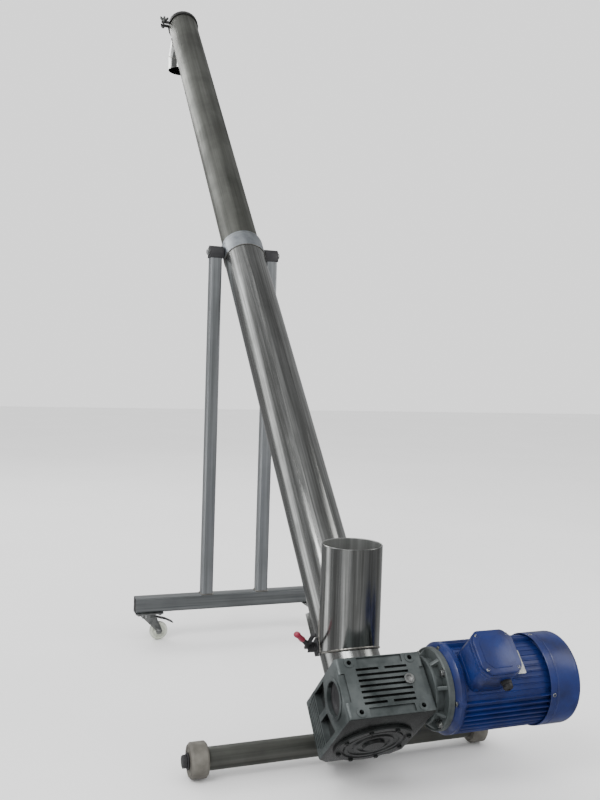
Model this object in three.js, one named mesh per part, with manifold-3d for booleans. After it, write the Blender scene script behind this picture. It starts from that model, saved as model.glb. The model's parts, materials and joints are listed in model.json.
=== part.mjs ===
// Mobile grain auger: a worm gear motor turns a screw in an inclined tube, fed by an upright hopper at the
// low end and emptied by a spout under the high end. An axle with two rollers carries the gearbox, and a
// hinged stand on two braked casters carries the middle of the tube.
//
// Units are millimetres, +Z is up. World X runs along the axle and the motor, and the tube rises towards +Y.
// Everything on the tube's line is drawn in a tilted frame: its +Z runs up the tube, its +X is world X and
// its +Y points down and away, so -Y is the side that faces up. Its origin is the gearbox output centre.

import * as THREE from 'three';
import { mergeVertices } from 'three/addons/utils/BufferGeometryUtils.js';
import Module from 'manifold-3d';

const wasm = await Module();
wasm.setup();

// ---------------------------------------------------------------- driving dimensions
const SLOPE_DEG = 46; // slope of the conveyor tube above the floor
const CLEAR = 0.3; // gap left between pieces that seat on each other
const RUN = 1.5; // gap between pieces that turn or swing past each other
const ROUND = 24; // sides of a large round piece
const SMALL_ROUND = 14; // sides of a small round piece

// worm gearbox
const BOX_CENTRE_Z = 130; // height of the output centre above the floor
const BOX_WIDTH = 172; // along the worm
const BOX_DEPTH = 112; // along the output axis
const WORM_SIDE = 119; // output centre to the face beside the worm
const FOOT_SIDE = 86; // output centre to the face the axle bracket bolts to
const HUB_PROUD = 4; // machined rings stand proud of the two output faces
const BOX_CHAMFER = 20;
const GEAR_MODULE = 4;
const WORM_STARTS = 2;
const WHEEL_TEETH = 30;
const WORM_PITCH_D = 30;
const TOOTH_THICKNESS = 3.6; // thin teeth leave a generous backlash
const WHEEL_FACE = 26;
const HUB_D = 52;
const WORM_BEARING_D = 60;
const WORM_BEARING_WIDTH = 17;
const WHEEL_BEARING_D = 90;
const WHEEL_BEARING_WIDTH = 18;
const MOUNT_HOLE_D = 8.5;
const MOUNT_HOLES_X = 120;
const MOUNT_HOLES_Z = 90;
const MOUNT_HOLE_DEPTH = 14;
const COVER_D = 150;
const COVER_THICKNESS = 6;

// motor, on the worm's axis
const ADAPTER_NECK_D = 112;
const ADAPTER_NECK = 18;
const ADAPTER_DISC_D = 150;
const ADAPTER_DISC = 12;
const SHIELD_D = 166;
const FRONT_SHIELD = 18;
const FRAME_LENGTH = 188;
const FRAME_CORE_D = 150;
const FRAME_BORE_D = 126;
const FIN_COUNT = 24;
const FIN_HEIGHT = 8.2;
const FIN_THICKNESS = 3.2;
const FIN_TAPER = 0.8; // tip thickness as a share of the root's
const STATOR_LENGTH = 120;
const STATOR_BORE_D = 82;
const ROTOR_LENGTH = 116;
const AIR_GAP = 1;
const MOTOR_SHAFT_D = 24;
const REAR_SHIELD = 14;
const COWL_LENGTH = 71;
const COWL_LAP = 12; // how far the cowl reaches over the fins
const COWL_WALL = 2;
const COWL_FIT = 0.8; // cowl's slack over the fins
const COWL_SLOTS = 8;
const FAN_D = 138;
const FAN_WIDTH = 24;
const FAN_GAP = 8;
const FAN_BLADES = 7;
const TERMINAL_BOX_LENGTH = 86; // along the motor
const TERMINAL_BOX_WIDTH = 88;
const TERMINAL_LID_HEIGHT = 140; // motor axis to the top of the lid
const TERMINAL_LID = 14;
const TERMINAL_WALL = 4;
const LID_OVERHANG = 3;
const TERMINAL_BOX_START = 139; // gearbox centre to the near edge of the box
const GLAND_D = 22;

// conveyor tubes and screw
const FLANGE_D = 140;
const FLANGE = 8;
const LOWER_TUBE_D = 114.3;
const LOWER_TUBE_WALL = 3;
const LOWER_TUBE_END = 1348; // gearbox centre to the joint between the tubes
const COLLAR_SPACE = 2.15; // room for the sleeve between the two tubes, on each side
const UPPER_TUBE_D = LOWER_TUBE_D - 2 * LOWER_TUBE_WALL - 2 * COLLAR_SPACE;
const UPPER_TUBE_WALL = 2;
const LINE_END = 2645; // gearbox centre to the high end of the tube
const COLLAR_LENGTH = 8;
const COLLAR_SKIRT = 30; // how far the sleeve and the upper tube reach into the lower one
const SHAFT_D = 33.7;
const FLIGHT_GAP = 3; // flight to the wall of the narrower tube
const FLIGHT_PITCH = 90;
const FLIGHT_THICKNESS = 3;
const FLIGHT_START = 84;
const FEED_FLIGHT_END = 354;
const FLIGHT_SPOUT_GAP = 60; // flight stops this far short of the spout centre
const DRIVE_END_D = 28;

// hopper
const HOPPER_AT = 122; // gearbox centre to where the hopper axis meets the tube axis
const HOPPER_STEP = 2.35; // hopper's radius beyond the tube's
const HOPPER_WALL = 3;
const HOPPER_HEIGHT = 211; // rim above that crossing

// clean-out door and its latch
const DOOR_START = 150;
const DOOR_LENGTH = 110;
const DOOR_HALF_ANGLE = 52;
const DOOR_LAP = 8; // how far the door laps over the edge of its opening
const DOOR_THICKNESS = 2.5;
const HINGE_PIN_D = 6;
const KNUCKLE_WALL = 2.5;
const LATCH_AT = 142;
const LATCH_BELOW = 13; // below the side of the tube, clear of the hopper
const LATCH_LEVER = 50;
const LATCH_GRIP = 38;
const LEVER_THICKNESS = 5;
const LEVER_END = 3.5; // half the lever's width at its end
const LATCH_ANGLE = 53; // lever's angle above horizontal, seen up the tube

// high end
const SPOUT_FROM_END = 85; // spout centre to the high end of the tube
const SPOUT_D = UPPER_TUBE_D - 2; // a little narrower than the tube it is saddled on
const SPOUT_WALL = 2;
const SPOUT_STUB = 80; // tube axis to the spout's elbow
const SPOUT_DROP = 48; // elbow to the open mouth
const END_COVER = 8;
const CLAMP_BAND = 5; // thickness of the clamp's ring
const CLAMP_D = UPPER_TUBE_D + 2 * CLAMP_BAND;
const CLAMP_WIDTH = 16;
const CLAMP_GAP = 9;
const WING_REACH = 16;
const EAR_MARGIN = 9; // ear beyond the bolt's centre
const CLAMP_BOLT_D = 8;

// axle and rollers
const AXLE_BACK = 94; // axle behind the gearbox centre
const AXLE_TUBE_D = 42.4;
const AXLE_TUBE_WALL = 3;
const AXLE_HALF_LENGTH = 276;
const ROLLER_D = 66;
const ROLLER_WIDTH = 34;
const ROLLER_BOLT_D = 16;
const BRACKET_PLATE = 8;
const BRACKET_PLATE_LENGTH = 100;
const BRACKET_WEB = 8;
const BRACKET_WEB_SPACING = 90;

// stand
const PIVOT_AT = 1322; // gearbox centre to the stand's hinge
const BEAM_LENGTH = 562;
const BEAM_SECTION = 40;
const BEAM_WALL = 2;
const UPRIGHT_SECTION = 32;
const UPRIGHT_OUT = 1; // upright's centre beyond the middle of its head
const HEAD_WIDTH = 38;
const HEAD_HEIGHT = 34;
const HEAD_DEPTH = 34;
const PIVOT_BAND_WIDTH = 50;
const PIVOT_BAND_THICKNESS = 2;
const PIVOT_PIN_D = 12;
const PIVOT_HEAD_D = 20;
const PIVOT_HEAD = 7;

// casters
const CASTER_HEIGHT = 81;
const CASTER_PLATE_LENGTH = 76;
const CASTER_PLATE_WIDTH = 60;
const CASTER_PLATE = 3;
const CASTER_RACE_D = 42;
const CASTER_RACE = 11;
const CASTER_WHEEL_D = 50;
const CASTER_WHEEL_WIDTH = 18;
const CASTER_TRAIL = 29;
const CASTER_AXLE_D = 8;
const FORK_WALL = 2.5;
const PEDAL_LENGTH = 46;
const PEDAL_WIDTH = 20;
const PEDAL_THICKNESS = 3;
const PEDAL_DROP = 18;

// ---------------------------------------------------------------- places worked out from the sizes above
const SLOPE = THREE.MathUtils.degToRad(SLOPE_DEG);
const CENTRE_DISTANCE = (WORM_PITCH_D + GEAR_MODULE * WHEEL_TEETH) / 2;
const WORM_Y = -CENTRE_DISTANCE;
const BOX_HALF_X = BOX_WIDTH / 2;
const BOX_HALF_Z = BOX_DEPTH / 2;
const WHEEL_TIP_R = (GEAR_MODULE * (WHEEL_TEETH + 2)) / 2;
const WHEEL_ROOT_R = (GEAR_MODULE * (WHEEL_TEETH - 2.4)) / 2;
const WORM_TIP_R = WORM_PITCH_D / 2 + GEAR_MODULE;
const WORM_ROOT_R = WORM_PITCH_D / 2 - 1.2 * GEAR_MODULE;
const WORM_LEAD = Math.PI * GEAR_MODULE * WORM_STARTS;
const HOUSING_FACE = BOX_HALF_Z + HUB_PROUD;
const LINE_START = HOUSING_FACE + CLEAR;
const TUBE_START = LINE_START + FLANGE + CLEAR;
const ADAPTER_START = BOX_HALF_X + CLEAR;
const ADAPTER_END = ADAPTER_START + ADAPTER_NECK + ADAPTER_DISC;
const FRONT_SHIELD_START = ADAPTER_END + CLEAR;
const FRAME_START = FRONT_SHIELD_START + FRONT_SHIELD + CLEAR;
const FRAME_END = FRAME_START + FRAME_LENGTH;
const REAR_SHIELD_START = FRAME_END + CLEAR;
const REAR_SHIELD_END = REAR_SHIELD_START + REAR_SHIELD;
const COWL_START = FRAME_END - COWL_LAP;
const COWL_END = COWL_START + COWL_LENGTH;
const FAN_START = REAR_SHIELD_END + FAN_GAP;
const COWL_R = FRAME_CORE_D / 2 + FIN_HEIGHT + COWL_FIT + COWL_WALL;
const LOWER_R = LOWER_TUBE_D / 2;
const LOWER_BORE_R = LOWER_R - LOWER_TUBE_WALL;
const UPPER_R = UPPER_TUBE_D / 2;
const UPPER_BORE_R = UPPER_R - UPPER_TUBE_WALL;
const FLIGHT_R = UPPER_BORE_R - FLIGHT_GAP;
const HOPPER_R = LOWER_R + HOPPER_STEP;
const SPOUT_AT = LINE_END - SPOUT_FROM_END;
const BAND_R = LOWER_R + PIVOT_BAND_THICKNESS;
const HEAD_MIDDLE = BAND_R + RUN + HEAD_WIDTH / 2;
const UPRIGHT_X = HEAD_MIDDLE + UPRIGHT_OUT;
const COVER_START = LINE_END + CLEAR;
const COLLAR_BORE_R = UPPER_R + CLEAR;
const AXLE_Z = ROLLER_D / 2;
const PIVOT_Y = PIVOT_AT * Math.cos(SLOPE);
const PIVOT_Z = BOX_CENTRE_Z + PIVOT_AT * Math.sin(SLOPE);
const BEAM_BOTTOM = CASTER_HEIGHT;
const UPRIGHT_BOTTOM = BEAM_BOTTOM + BEAM_SECTION + CLEAR;
const HEAD_BOTTOM = PIVOT_Z - HEAD_HEIGHT / 2;
const UPRIGHT_TOP = HEAD_BOTTOM - CLEAR;

// ---------------------------------------------------------------- materials
function material(color, roughness, metalness) {
  return new THREE.MeshStandardMaterial({ color, roughness, metalness });
}
const polishedSteel = () => material(0xa9adaf, 0.22, 1);
const dullSteel = () => material(0x6b6a62, 0.5, 0.9);
const brushedSteel = () => material(0x8b9093, 0.4, 0.9);
const castAluminium = () => material(0x78838a, 0.55, 0.7);
const bluePaint = () => material(0x1f3f90, 0.38, 0.15);
const zinc = () => material(0xa2a6a8, 0.4, 0.85);
const darkSteel = () => material(0x2c2e30, 0.5, 0.7);
const blackPlastic = () => material(0x17181a, 0.5, 0);
const redPlastic = () => material(0xb0273f, 0.35, 0);
const rollerPlastic = () => material(0x6a665b, 0.7, 0);
const casterPlastic = () => material(0xc9cabf, 0.55, 0);
const gearBronze = () => material(0xb0843f, 0.35, 0.9);

// ---------------------------------------------------------------- geometry helpers
// Shared vertices are merged and collapsed triangles dropped, and the faces are turned to point out.
function closed(source) {
  const bare = new THREE.BufferGeometry();
  bare.setAttribute('position', source.getAttribute('position').clone());
  if (source.index) bare.setIndex(source.index.clone());
  const merged = mergeVertices(bare, 1e-4);
  const index = merged.index.array;
  const p = merged.getAttribute('position');
  const kept = [];
  let volume = 0;
  for (let i = 0; i < index.length; i += 3) {
    const [a, b, c] = [index[i], index[i + 1], index[i + 2]];
    if (a === b || b === c || c === a) continue;
    kept.push(a, b, c);
    const [va, vb, vc] = [a, b, c].map((k) => new THREE.Vector3().fromBufferAttribute(p, k));
    volume += va.dot(vb.cross(vc));
  }
  if (volume < 0) kept.reverse();
  merged.setIndex(kept);
  return merged;
}

function toSolid(geometry) {
  const g = closed(geometry);
  return new wasm.Manifold(
    new wasm.Mesh({
      numProp: 3,
      vertProperties: new Float32Array(g.getAttribute('position').array),
      triVerts: new Uint32Array(g.index.array),
    }),
  );
}

function toGeometry(solid) {
  const { vertProperties, triVerts } = solid.getMesh();
  const g = new THREE.BufferGeometry();
  g.setAttribute('position', new THREE.BufferAttribute(new Float32Array(vertProperties), 3));
  g.setIndex(new THREE.BufferAttribute(new Uint32Array(triVerts), 1));
  return g;
}

const join = (...parts) => toGeometry(parts.map(toSolid).reduce((a, b) => a.add(b)));
const cut = (base, ...tools) => toGeometry(tools.map(toSolid).reduce((a, b) => a.subtract(b), toSolid(base)));
const keep = (base, tool) => toGeometry(toSolid(base).intersect(toSolid(tool)));

function block(x0, x1, y0, y1, z0, z1) {
  const box = new THREE.BoxGeometry(x1 - x0, y1 - y0, z1 - z0);
  return box.translate((x0 + x1) / 2, (y0 + y1) / 2, (z0 + z1) / 2);
}

// A cylinder from one height to another on the Z axis.
function post(radius, z0, z1, sides = ROUND) {
  const cylinder = new THREE.CylinderGeometry(radius, radius, z1 - z0, sides);
  return cylinder.rotateX(Math.PI / 2).translate(0, 0, (z0 + z1) / 2);
}

// A solid of revolution about Z from a list of [radius, height] points that closes on the axis or on itself.
function turned(profile, sides = ROUND) {
  const points = profile.map(([r, h]) => new THREE.Vector2(r, h));
  return new THREE.LatheGeometry(points, sides).rotateX(Math.PI / 2);
}

// A ring of rectangular section about Z.
function ring(inner, outer, z0, z1, sides = ROUND) {
  return turned([[inner, z0], [outer, z0], [outer, z1], [inner, z1], [inner, z0]], sides);
}

// An outline in X and Y, extruded from one height to another.
function slab(points, z0, z1) {
  const shape = new THREE.Shape(points.map(([x, y]) => new THREE.Vector2(x, y)));
  const options = { depth: z1 - z0, bevelEnabled: false, curveSegments: 8 };
  return new THREE.ExtrudeGeometry(shape, options).translate(0, 0, z0);
}

// Radius for a faceted hole that has to clear a round piece of this radius all round.
const around = (radius, sides = ROUND) => radius / Math.cos(Math.PI / sides);
// Turns something drawn along Z so that it runs along X.
const alongX = (geometry) => geometry.rotateY(Math.PI / 2);
// Turns something drawn along Z so that it runs along Y.
const alongY = (geometry) => geometry.rotateX(-Math.PI / 2);

// A closed body along Z whose radius at each angle and height comes from a function.
function polarBody(radiusAt, heights, sides) {
  const points = [];
  const index = [];
  for (const h of heights) {
    for (let j = 0; j < sides; j++) {
      const angle = (2 * Math.PI * j) / sides;
      const r = radiusAt(angle, h);
      points.push(r * Math.cos(angle), r * Math.sin(angle), h);
    }
  }
  const centres = points.length / 3;
  points.push(0, 0, heights[0], 0, 0, heights[heights.length - 1]);
  for (let k = 0; k < heights.length - 1; k++) {
    for (let j = 0; j < sides; j++) {
      const a = k * sides + j;
      const b = k * sides + ((j + 1) % sides);
      index.push(a, b, b + sides, a, b + sides, a + sides);
    }
  }
  const top = (heights.length - 1) * sides;
  for (let j = 0; j < sides; j++) {
    const next = (j + 1) % sides;
    index.push(centres, next, j, centres + 1, top + j, top + next);
  }
  const g = new THREE.BufferGeometry();
  g.setAttribute('position', new THREE.Float32BufferAttribute(points, 3));
  g.setIndex(index);
  return g;
}

// A round pipe, filled, along straight legs in the Y-Z plane, mitred where the legs meet.
function mitredPipe(radius, path, sides = ROUND) {
  const legs = path.slice(1).map((p, i) => p.clone().sub(path[i]).normalize());
  const points = [];
  const index = [];
  path.forEach((centre, k) => {
    const before = legs[Math.max(k - 1, 0)];
    const after = legs[Math.min(k, legs.length - 1)];
    const along = before.clone().add(after).normalize();
    const stretch = 1 / along.dot(after);
    const side = new THREE.Vector3(0, -along.z, along.y);
    for (let j = 0; j < sides; j++) {
      const angle = (2 * Math.PI * j) / sides;
      const offset = side.clone().multiplyScalar(Math.sin(angle) * radius * stretch);
      points.push(centre.x + radius * Math.cos(angle), centre.y + offset.y, centre.z + offset.z);
    }
  });
  const centres = points.length / 3;
  const last = path[path.length - 1];
  points.push(path[0].x, path[0].y, path[0].z, last.x, last.y, last.z);
  for (let k = 0; k < path.length - 1; k++) {
    for (let j = 0; j < sides; j++) {
      const a = k * sides + j;
      const b = k * sides + ((j + 1) % sides);
      index.push(a, b, b + sides, a, b + sides, a + sides);
    }
  }
  const top = (path.length - 1) * sides;
  for (let j = 0; j < sides; j++) {
    const next = (j + 1) % sides;
    index.push(centres, next, j, centres + 1, top + j, top + next);
  }
  const g = new THREE.BufferGeometry();
  g.setAttribute('position', new THREE.Float32BufferAttribute(points, 3));
  g.setIndex(index);
  return g;
}

// A screw flight: a flat strip wound round the Z axis.
function flight(bore, outer, z0, z1, stepsPerTurn) {
  const inner = around(bore, stepsPerTurn);
  const steps = Math.round(((z1 - z0 - FLIGHT_THICKNESS) / FLIGHT_PITCH) * stepsPerTurn);
  const points = [];
  const index = [];
  for (let k = 0; k <= steps; k++) {
    const h = z0 + ((z1 - z0 - FLIGHT_THICKNESS) * k) / steps;
    const angle = (2 * Math.PI * h) / FLIGHT_PITCH;
    for (const [r, dz] of [[inner, 0], [outer, 0], [outer, FLIGHT_THICKNESS], [inner, FLIGHT_THICKNESS]]) {
      points.push(r * Math.cos(angle), r * Math.sin(angle), h + dz);
    }
  }
  for (let k = 0; k < steps; k++) {
    for (let j = 0; j < 4; j++) {
      const a = 4 * k + j;
      const b = 4 * k + ((j + 1) % 4);
      index.push(a, b, b + 4, a, b + 4, a + 4);
    }
  }
  const e = 4 * steps;
  index.push(0, 3, 2, 0, 2, 1, e, e + 1, e + 2, e, e + 2, e + 3);
  const g = new THREE.BufferGeometry();
  g.setAttribute('position', new THREE.Float32BufferAttribute(points, 3));
  g.setIndex(index);
  return g;
}

// ---------------------------------------------------------------- scene graph
const auger = new THREE.Group();
const line = new THREE.Group();
line.position.set(0, 0, BOX_CENTRE_Z);
line.rotation.x = -(Math.PI / 2 - SLOPE);
auger.add(line);

function add(parent, name, geometry, finish) {
  const mesh = new THREE.Mesh(closed(geometry), finish);
  mesh.name = name;
  parent.add(mesh);
  return mesh;
}

// World "down" as a direction in the tilted frame.
const DOWN = new THREE.Vector3(0, Math.cos(SLOPE), -Math.sin(SLOPE));

// ---------------------------------------------------------------- gearbox
// Chamfered block with a bore for the wheel, open on the low face, and a through bore for the worm.
function housing() {
  const c = BOX_CHAMFER;
  const [x, worm, foot] = [BOX_HALF_X, -WORM_SIDE, FOOT_SIDE];
  const small = 4;
  const outline = [
    [-x + small, worm], [x - small, worm], [x, worm + small], [x, foot - c],
    [x - c, foot], [-x + c, foot], [-x, foot - c], [-x, worm + small],
  ];
  const wheelRoom = WHEEL_TIP_R + RUN;
  const upperSeat = around(WHEEL_BEARING_D / 2 + CLEAR);
  const tools = [
    post(wheelRoom, -HOUSING_FACE - 1, WHEEL_FACE / 2 + RUN),
    post(upperSeat, 0, WHEEL_FACE / 2 + RUN + WHEEL_BEARING_WIDTH + CLEAR),
    post(HUB_D / 2 + RUN, 0, HOUSING_FACE + 1),
    alongX(post(WORM_BEARING_D / 2 + CLEAR, -x - 1, x + 1)).translate(0, WORM_Y, 0),
  ];
  for (const sx of [-1, 1]) {
    for (const sz of [-1, 1]) {
      const hole = alongY(post(MOUNT_HOLE_D / 2, 0, MOUNT_HOLE_DEPTH + 1, 12));
      tools.push(hole.translate((sx * MOUNT_HOLES_X) / 2, worm - 1, (sz * MOUNT_HOLES_Z) / 2));
    }
  }
  const body = join(slab(outline, -BOX_HALF_Z, BOX_HALF_Z), post(FLANGE_D / 2 - 8, 0, HOUSING_FACE));
  return cut(body, ...tools);
}
add(line, 'gearbox_housing', housing(), castAluminium());

// Round cover that closes the low face: stepped rings with a raised centre, and a seat for the lower bearing.
function outputCover() {
  const face = -BOX_HALF_Z - CLEAR;
  const seat = around(WHEEL_BEARING_D / 2 + CLEAR);
  const spigot = WHEEL_TIP_R + RUN - CLEAR;
  const bearingTop = -WHEEL_FACE / 2 - RUN;
  const bearingFloor = bearingTop - WHEEL_BEARING_WIDTH - CLEAR;
  const hubRoom = HUB_D / 2 + RUN;
  return turned([
    [0, face - COVER_THICKNESS - 4], [hubRoom + 4, face - COVER_THICKNESS - 4],
    [hubRoom + 6, face - COVER_THICKNESS], [COVER_D / 2 - 3, face - COVER_THICKNESS],
    [COVER_D / 2, face - COVER_THICKNESS + 3], [COVER_D / 2, face], [spigot, face],
    [spigot, -WORM_TIP_R - 2 * RUN], [seat + 4, bearingTop], [seat, bearingTop], [seat, bearingFloor],
    [hubRoom, bearingFloor], [hubRoom, face - COVER_THICKNESS + 2], [0, face - COVER_THICKNESS + 2],
  ]);
}
add(line, 'gearbox_cover', outputCover(), castAluminium());

// Radius of a toothed body. Teeth are counted by a phase that grows by one from tooth to tooth.
function toothRadius(phase, spacing, root, tip) {
  const off = Math.abs(phase - Math.floor(phase) - 0.5) * spacing;
  const flank = THREE.MathUtils.clamp((TOOTH_THICKNESS / 2 + 0.6 - off) / 1.2, 0, 1);
  return root + (tip - root) * flank;
}

function wormWheel() {
  const spacing = Math.PI * GEAR_MODULE;
  const twist = WORM_LEAD / (Math.PI * WORM_PITCH_D) / (spacing * WHEEL_TEETH / (2 * Math.PI));
  const heights = [-1, 0, 1].map((k) => (k * WHEEL_FACE) / 2);
  const radius = (angle, h) => {
    const phase = ((angle - h * twist) * WHEEL_TEETH) / (2 * Math.PI) + 0.5;
    return toothRadius(phase, spacing, WHEEL_ROOT_R, WHEEL_TIP_R - 0.5);
  };
  const hub = post(HUB_D / 2, -HOUSING_FACE + 4, HOUSING_FACE - 1, SMALL_ROUND);
  return cut(
    join(polarBody(radius, heights, WHEEL_TEETH * 4), hub),
    post(DRIVE_END_D / 2 + CLEAR, -HOUSING_FACE, HOUSING_FACE, SMALL_ROUND),
  );
}
add(line, 'worm_wheel', wormWheel(), gearBronze());

for (const [name, z0] of [
  ['wheel_bearing_upper', WHEEL_FACE / 2 + RUN],
  ['wheel_bearing_lower', -WHEEL_FACE / 2 - RUN - WHEEL_BEARING_WIDTH],
]) {
  const bearing = ring(
    around(HUB_D / 2 + CLEAR, SMALL_ROUND), WHEEL_BEARING_D / 2, z0, z0 + WHEEL_BEARING_WIDTH, SMALL_ROUND,
  );
  add(line, name, bearing, brushedSteel());
}

// The worm's thread covers the mesh, with a plain journal at each end. A bore takes the motor shaft.
const WORM_THREAD_HALF = 33;
const WORM_STEP = 3.3;
const WORM_JOURNAL_R = WORM_ROOT_R - 0.5;
const WORM_END = BOX_HALF_X - 3;
// The bearings stand just outside the round room that the wheel turns in.
const WHEEL_ROOM_WALL = 4;
const ROOM_OUTER_R = WHEEL_TIP_R + RUN + WHEEL_ROOM_WALL;
const BEARING_NEAR = Math.sqrt(ROOM_OUTER_R ** 2 - (CENTRE_DISTANCE - WORM_BEARING_D / 2) ** 2);
const OUTER_BEARING_AT = -BEARING_NEAR - WORM_BEARING_WIDTH;
function worm() {
  const heights = [];
  for (let h = -WORM_THREAD_HALF; h <= WORM_THREAD_HALF; h += WORM_STEP) heights.push(h);
  const radius = (angle, h) => {
    const phase = h / (Math.PI * GEAR_MODULE) - (WORM_STARTS * angle) / (2 * Math.PI);
    return toothRadius(phase, Math.PI * GEAR_MODULE, WORM_ROOT_R, WORM_TIP_R - 0.5);
  };
  const shaft = post(WORM_JOURNAL_R, OUTER_BEARING_AT - 1, WORM_THREAD_HALF + 1, SMALL_ROUND);
  const sleeve = post(MOTOR_SHAFT_D / 2 + 5, WORM_THREAD_HALF - 1, WORM_END, SMALL_ROUND);
  const body = join(polarBody(radius, heights, SMALL_ROUND), shaft, sleeve);
  const bore = around(MOTOR_SHAFT_D / 2 + CLEAR, SMALL_ROUND);
  return cut(body, post(bore, WORM_THREAD_HALF, WORM_END + 1, SMALL_ROUND));
}
add(line, 'worm', alongX(worm()), brushedSteel()).position.y = WORM_Y;

function wormBearing(name, x0, bore) {
  const inner = around(bore + CLEAR, SMALL_ROUND);
  const bearing = ring(inner, WORM_BEARING_D / 2, x0, x0 + WORM_BEARING_WIDTH, SMALL_ROUND);
  add(line, name, alongX(bearing), brushedSteel()).position.y = WORM_Y;
}
wormBearing('worm_bearing_outer', OUTER_BEARING_AT, WORM_JOURNAL_R);
wormBearing('worm_bearing_motor', BEARING_NEAR, MOTOR_SHAFT_D / 2 + 5);

// Black cap pressed into the worm bore, set back from the face. The worm's end turns inside it.
function wormEndCap() {
  const r = WORM_BEARING_D / 2;
  const floor = -BOX_HALF_X + 9;
  const lip = OUTER_BEARING_AT - CLEAR;
  return turned([
    [0, floor], [r - 8, floor], [r - 6, floor - 3], [r, floor - 3], [r, lip], [r - 6, lip],
    [r - 6, floor + 4], [0, floor + 4],
  ]);
}
add(line, 'worm_end_cap', alongX(wormEndCap()), blackPlastic()).position.y = WORM_Y;

// ---------------------------------------------------------------- motor, drawn along Z, laid on the worm
const motor = new THREE.Group();
motor.position.y = WORM_Y;
motor.rotation.y = Math.PI / 2;
line.add(motor);
const SHAFT_ROOM_R = MOTOR_SHAFT_D / 2 + 8;

// Neck and disc that carry the motor: four ribs run from the neck to the disc.
function adapterFlange() {
  const neckEnd = ADAPTER_START + ADAPTER_NECK;
  const body = turned([
    [SHAFT_ROOM_R, ADAPTER_START], [ADAPTER_NECK_D / 2, ADAPTER_START], [ADAPTER_NECK_D / 2, neckEnd],
    [ADAPTER_DISC_D / 2, neckEnd], [ADAPTER_DISC_D / 2, ADAPTER_END], [SHAFT_ROOM_R, ADAPTER_END],
    [SHAFT_ROOM_R, ADAPTER_START],
  ]);
  const reach = ADAPTER_DISC_D / 2 - 6;
  const ribs = [0, 1, 2, 3].map((k) => {
    const rib = block(ADAPTER_NECK_D / 2 - 6, reach, -4, 4, ADAPTER_START, neckEnd + 1);
    return rib.rotateZ(Math.PI / 4 + (k * Math.PI) / 2);
  });
  return join(body, ...ribs);
}
add(motor, 'motor_adapter_flange', adapterFlange(), castAluminium());

function frontShield() {
  const [a, b] = [FRONT_SHIELD_START, FRONT_SHIELD_START + FRONT_SHIELD];
  const r = SHIELD_D / 2;
  return turned([
    [SHAFT_ROOM_R, a], [r - 10, a], [r, a + 8], [r, b], [FRAME_BORE_D / 2 - 1, b],
    [FRAME_BORE_D / 2 - 1, b - 6], [SHAFT_ROOM_R, b - 6], [SHAFT_ROOM_R, a],
  ]);
}
add(motor, 'motor_front_shield', frontShield(), bluePaint());

// Frame with straight cooling fins all round, left bare under the terminal box.
// In the motor's own frame the terminal box stands towards -Y.
const BOX_PAD_HALF = 46;
function motorFrame() {
  const core = FRAME_CORE_D / 2;
  const outline = [];
  for (let k = 0; k < FIN_COUNT; k++) {
    const mid = (2 * Math.PI * (k + 0.5)) / FIN_COUNT;
    const half = FIN_THICKNESS / 2 / core;
    const underBox = Math.abs(Math.cos(mid) * core) < BOX_PAD_HALF && Math.sin(mid) < 0;
    const tip = core + (underBox ? 1 : FIN_HEIGHT);
    const thin = half * FIN_TAPER;
    for (const [r, a] of [[core, mid - half], [tip, mid - thin], [tip, mid + thin], [core, mid + half]]) {
      outline.push([r * Math.cos(a), r * Math.sin(a)]);
    }
  }
  const shape = new THREE.Shape(outline.map(([x, y]) => new THREE.Vector2(x, y)));
  shape.holes.push(new THREE.Path().absarc(0, 0, FRAME_BORE_D / 2, 0, 2 * Math.PI, true));
  const options = { depth: FRAME_LENGTH, bevelEnabled: false, curveSegments: ROUND / 2 };
  return new THREE.ExtrudeGeometry(shape, options).translate(0, 0, FRAME_START);
}
add(motor, 'motor_frame', motorFrame(), bluePaint());

const STATOR_START = FRAME_START + (FRAME_LENGTH - STATOR_LENGTH) / 2;
const stator = ring(STATOR_BORE_D / 2, FRAME_BORE_D / 2 - 0.6, STATOR_START, STATOR_START + STATOR_LENGTH);
add(motor, 'stator_core', stator, dullSteel());

const FAN_END = FAN_START + FAN_WIDTH;
function rotor() {
  const core = STATOR_BORE_D / 2 - AIR_GAP;
  const a = FRAME_START + (FRAME_LENGTH - ROTOR_LENGTH) / 2;
  const shaft = MOTOR_SHAFT_D / 2;
  return turned([
    [0, WORM_THREAD_HALF + 2], [shaft, WORM_THREAD_HALF + 2], [shaft, a], [core, a], [core, a + ROTOR_LENGTH],
    [shaft, a + ROTOR_LENGTH], [shaft, FAN_END], [0, FAN_END],
  ], SMALL_ROUND);
}
add(motor, 'motor_rotor', rotor(), brushedSteel());

function rearShield() {
  const bore = MOTOR_SHAFT_D / 2 + RUN;
  const [a, b] = [REAR_SHIELD_START, REAR_SHIELD_END];
  const r = FRAME_CORE_D / 2 + 2;
  return turned([[bore, a], [r, a], [r, b - 4], [r - 8, b], [bore, b], [bore, a]]);
}
add(motor, 'motor_rear_shield', rearShield(), bluePaint());

function fan() {
  const hub = ring(around(MOTOR_SHAFT_D / 2 + CLEAR, SMALL_ROUND), 26, FAN_START, FAN_END, SMALL_ROUND);
  const disc = ring(25, FAN_D / 2, FAN_START, FAN_START + 3);
  const blades = [];
  for (let k = 0; k < FAN_BLADES; k++) {
    const blade = block(24, FAN_D / 2 - 1, -1.5, 1.5, FAN_START + 1, FAN_END - 1);
    blades.push(blade.rotateZ((2 * Math.PI * k) / FAN_BLADES));
  }
  return join(hub, disc, ...blades);
}
add(motor, 'motor_fan', fan(), blackPlastic());

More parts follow.
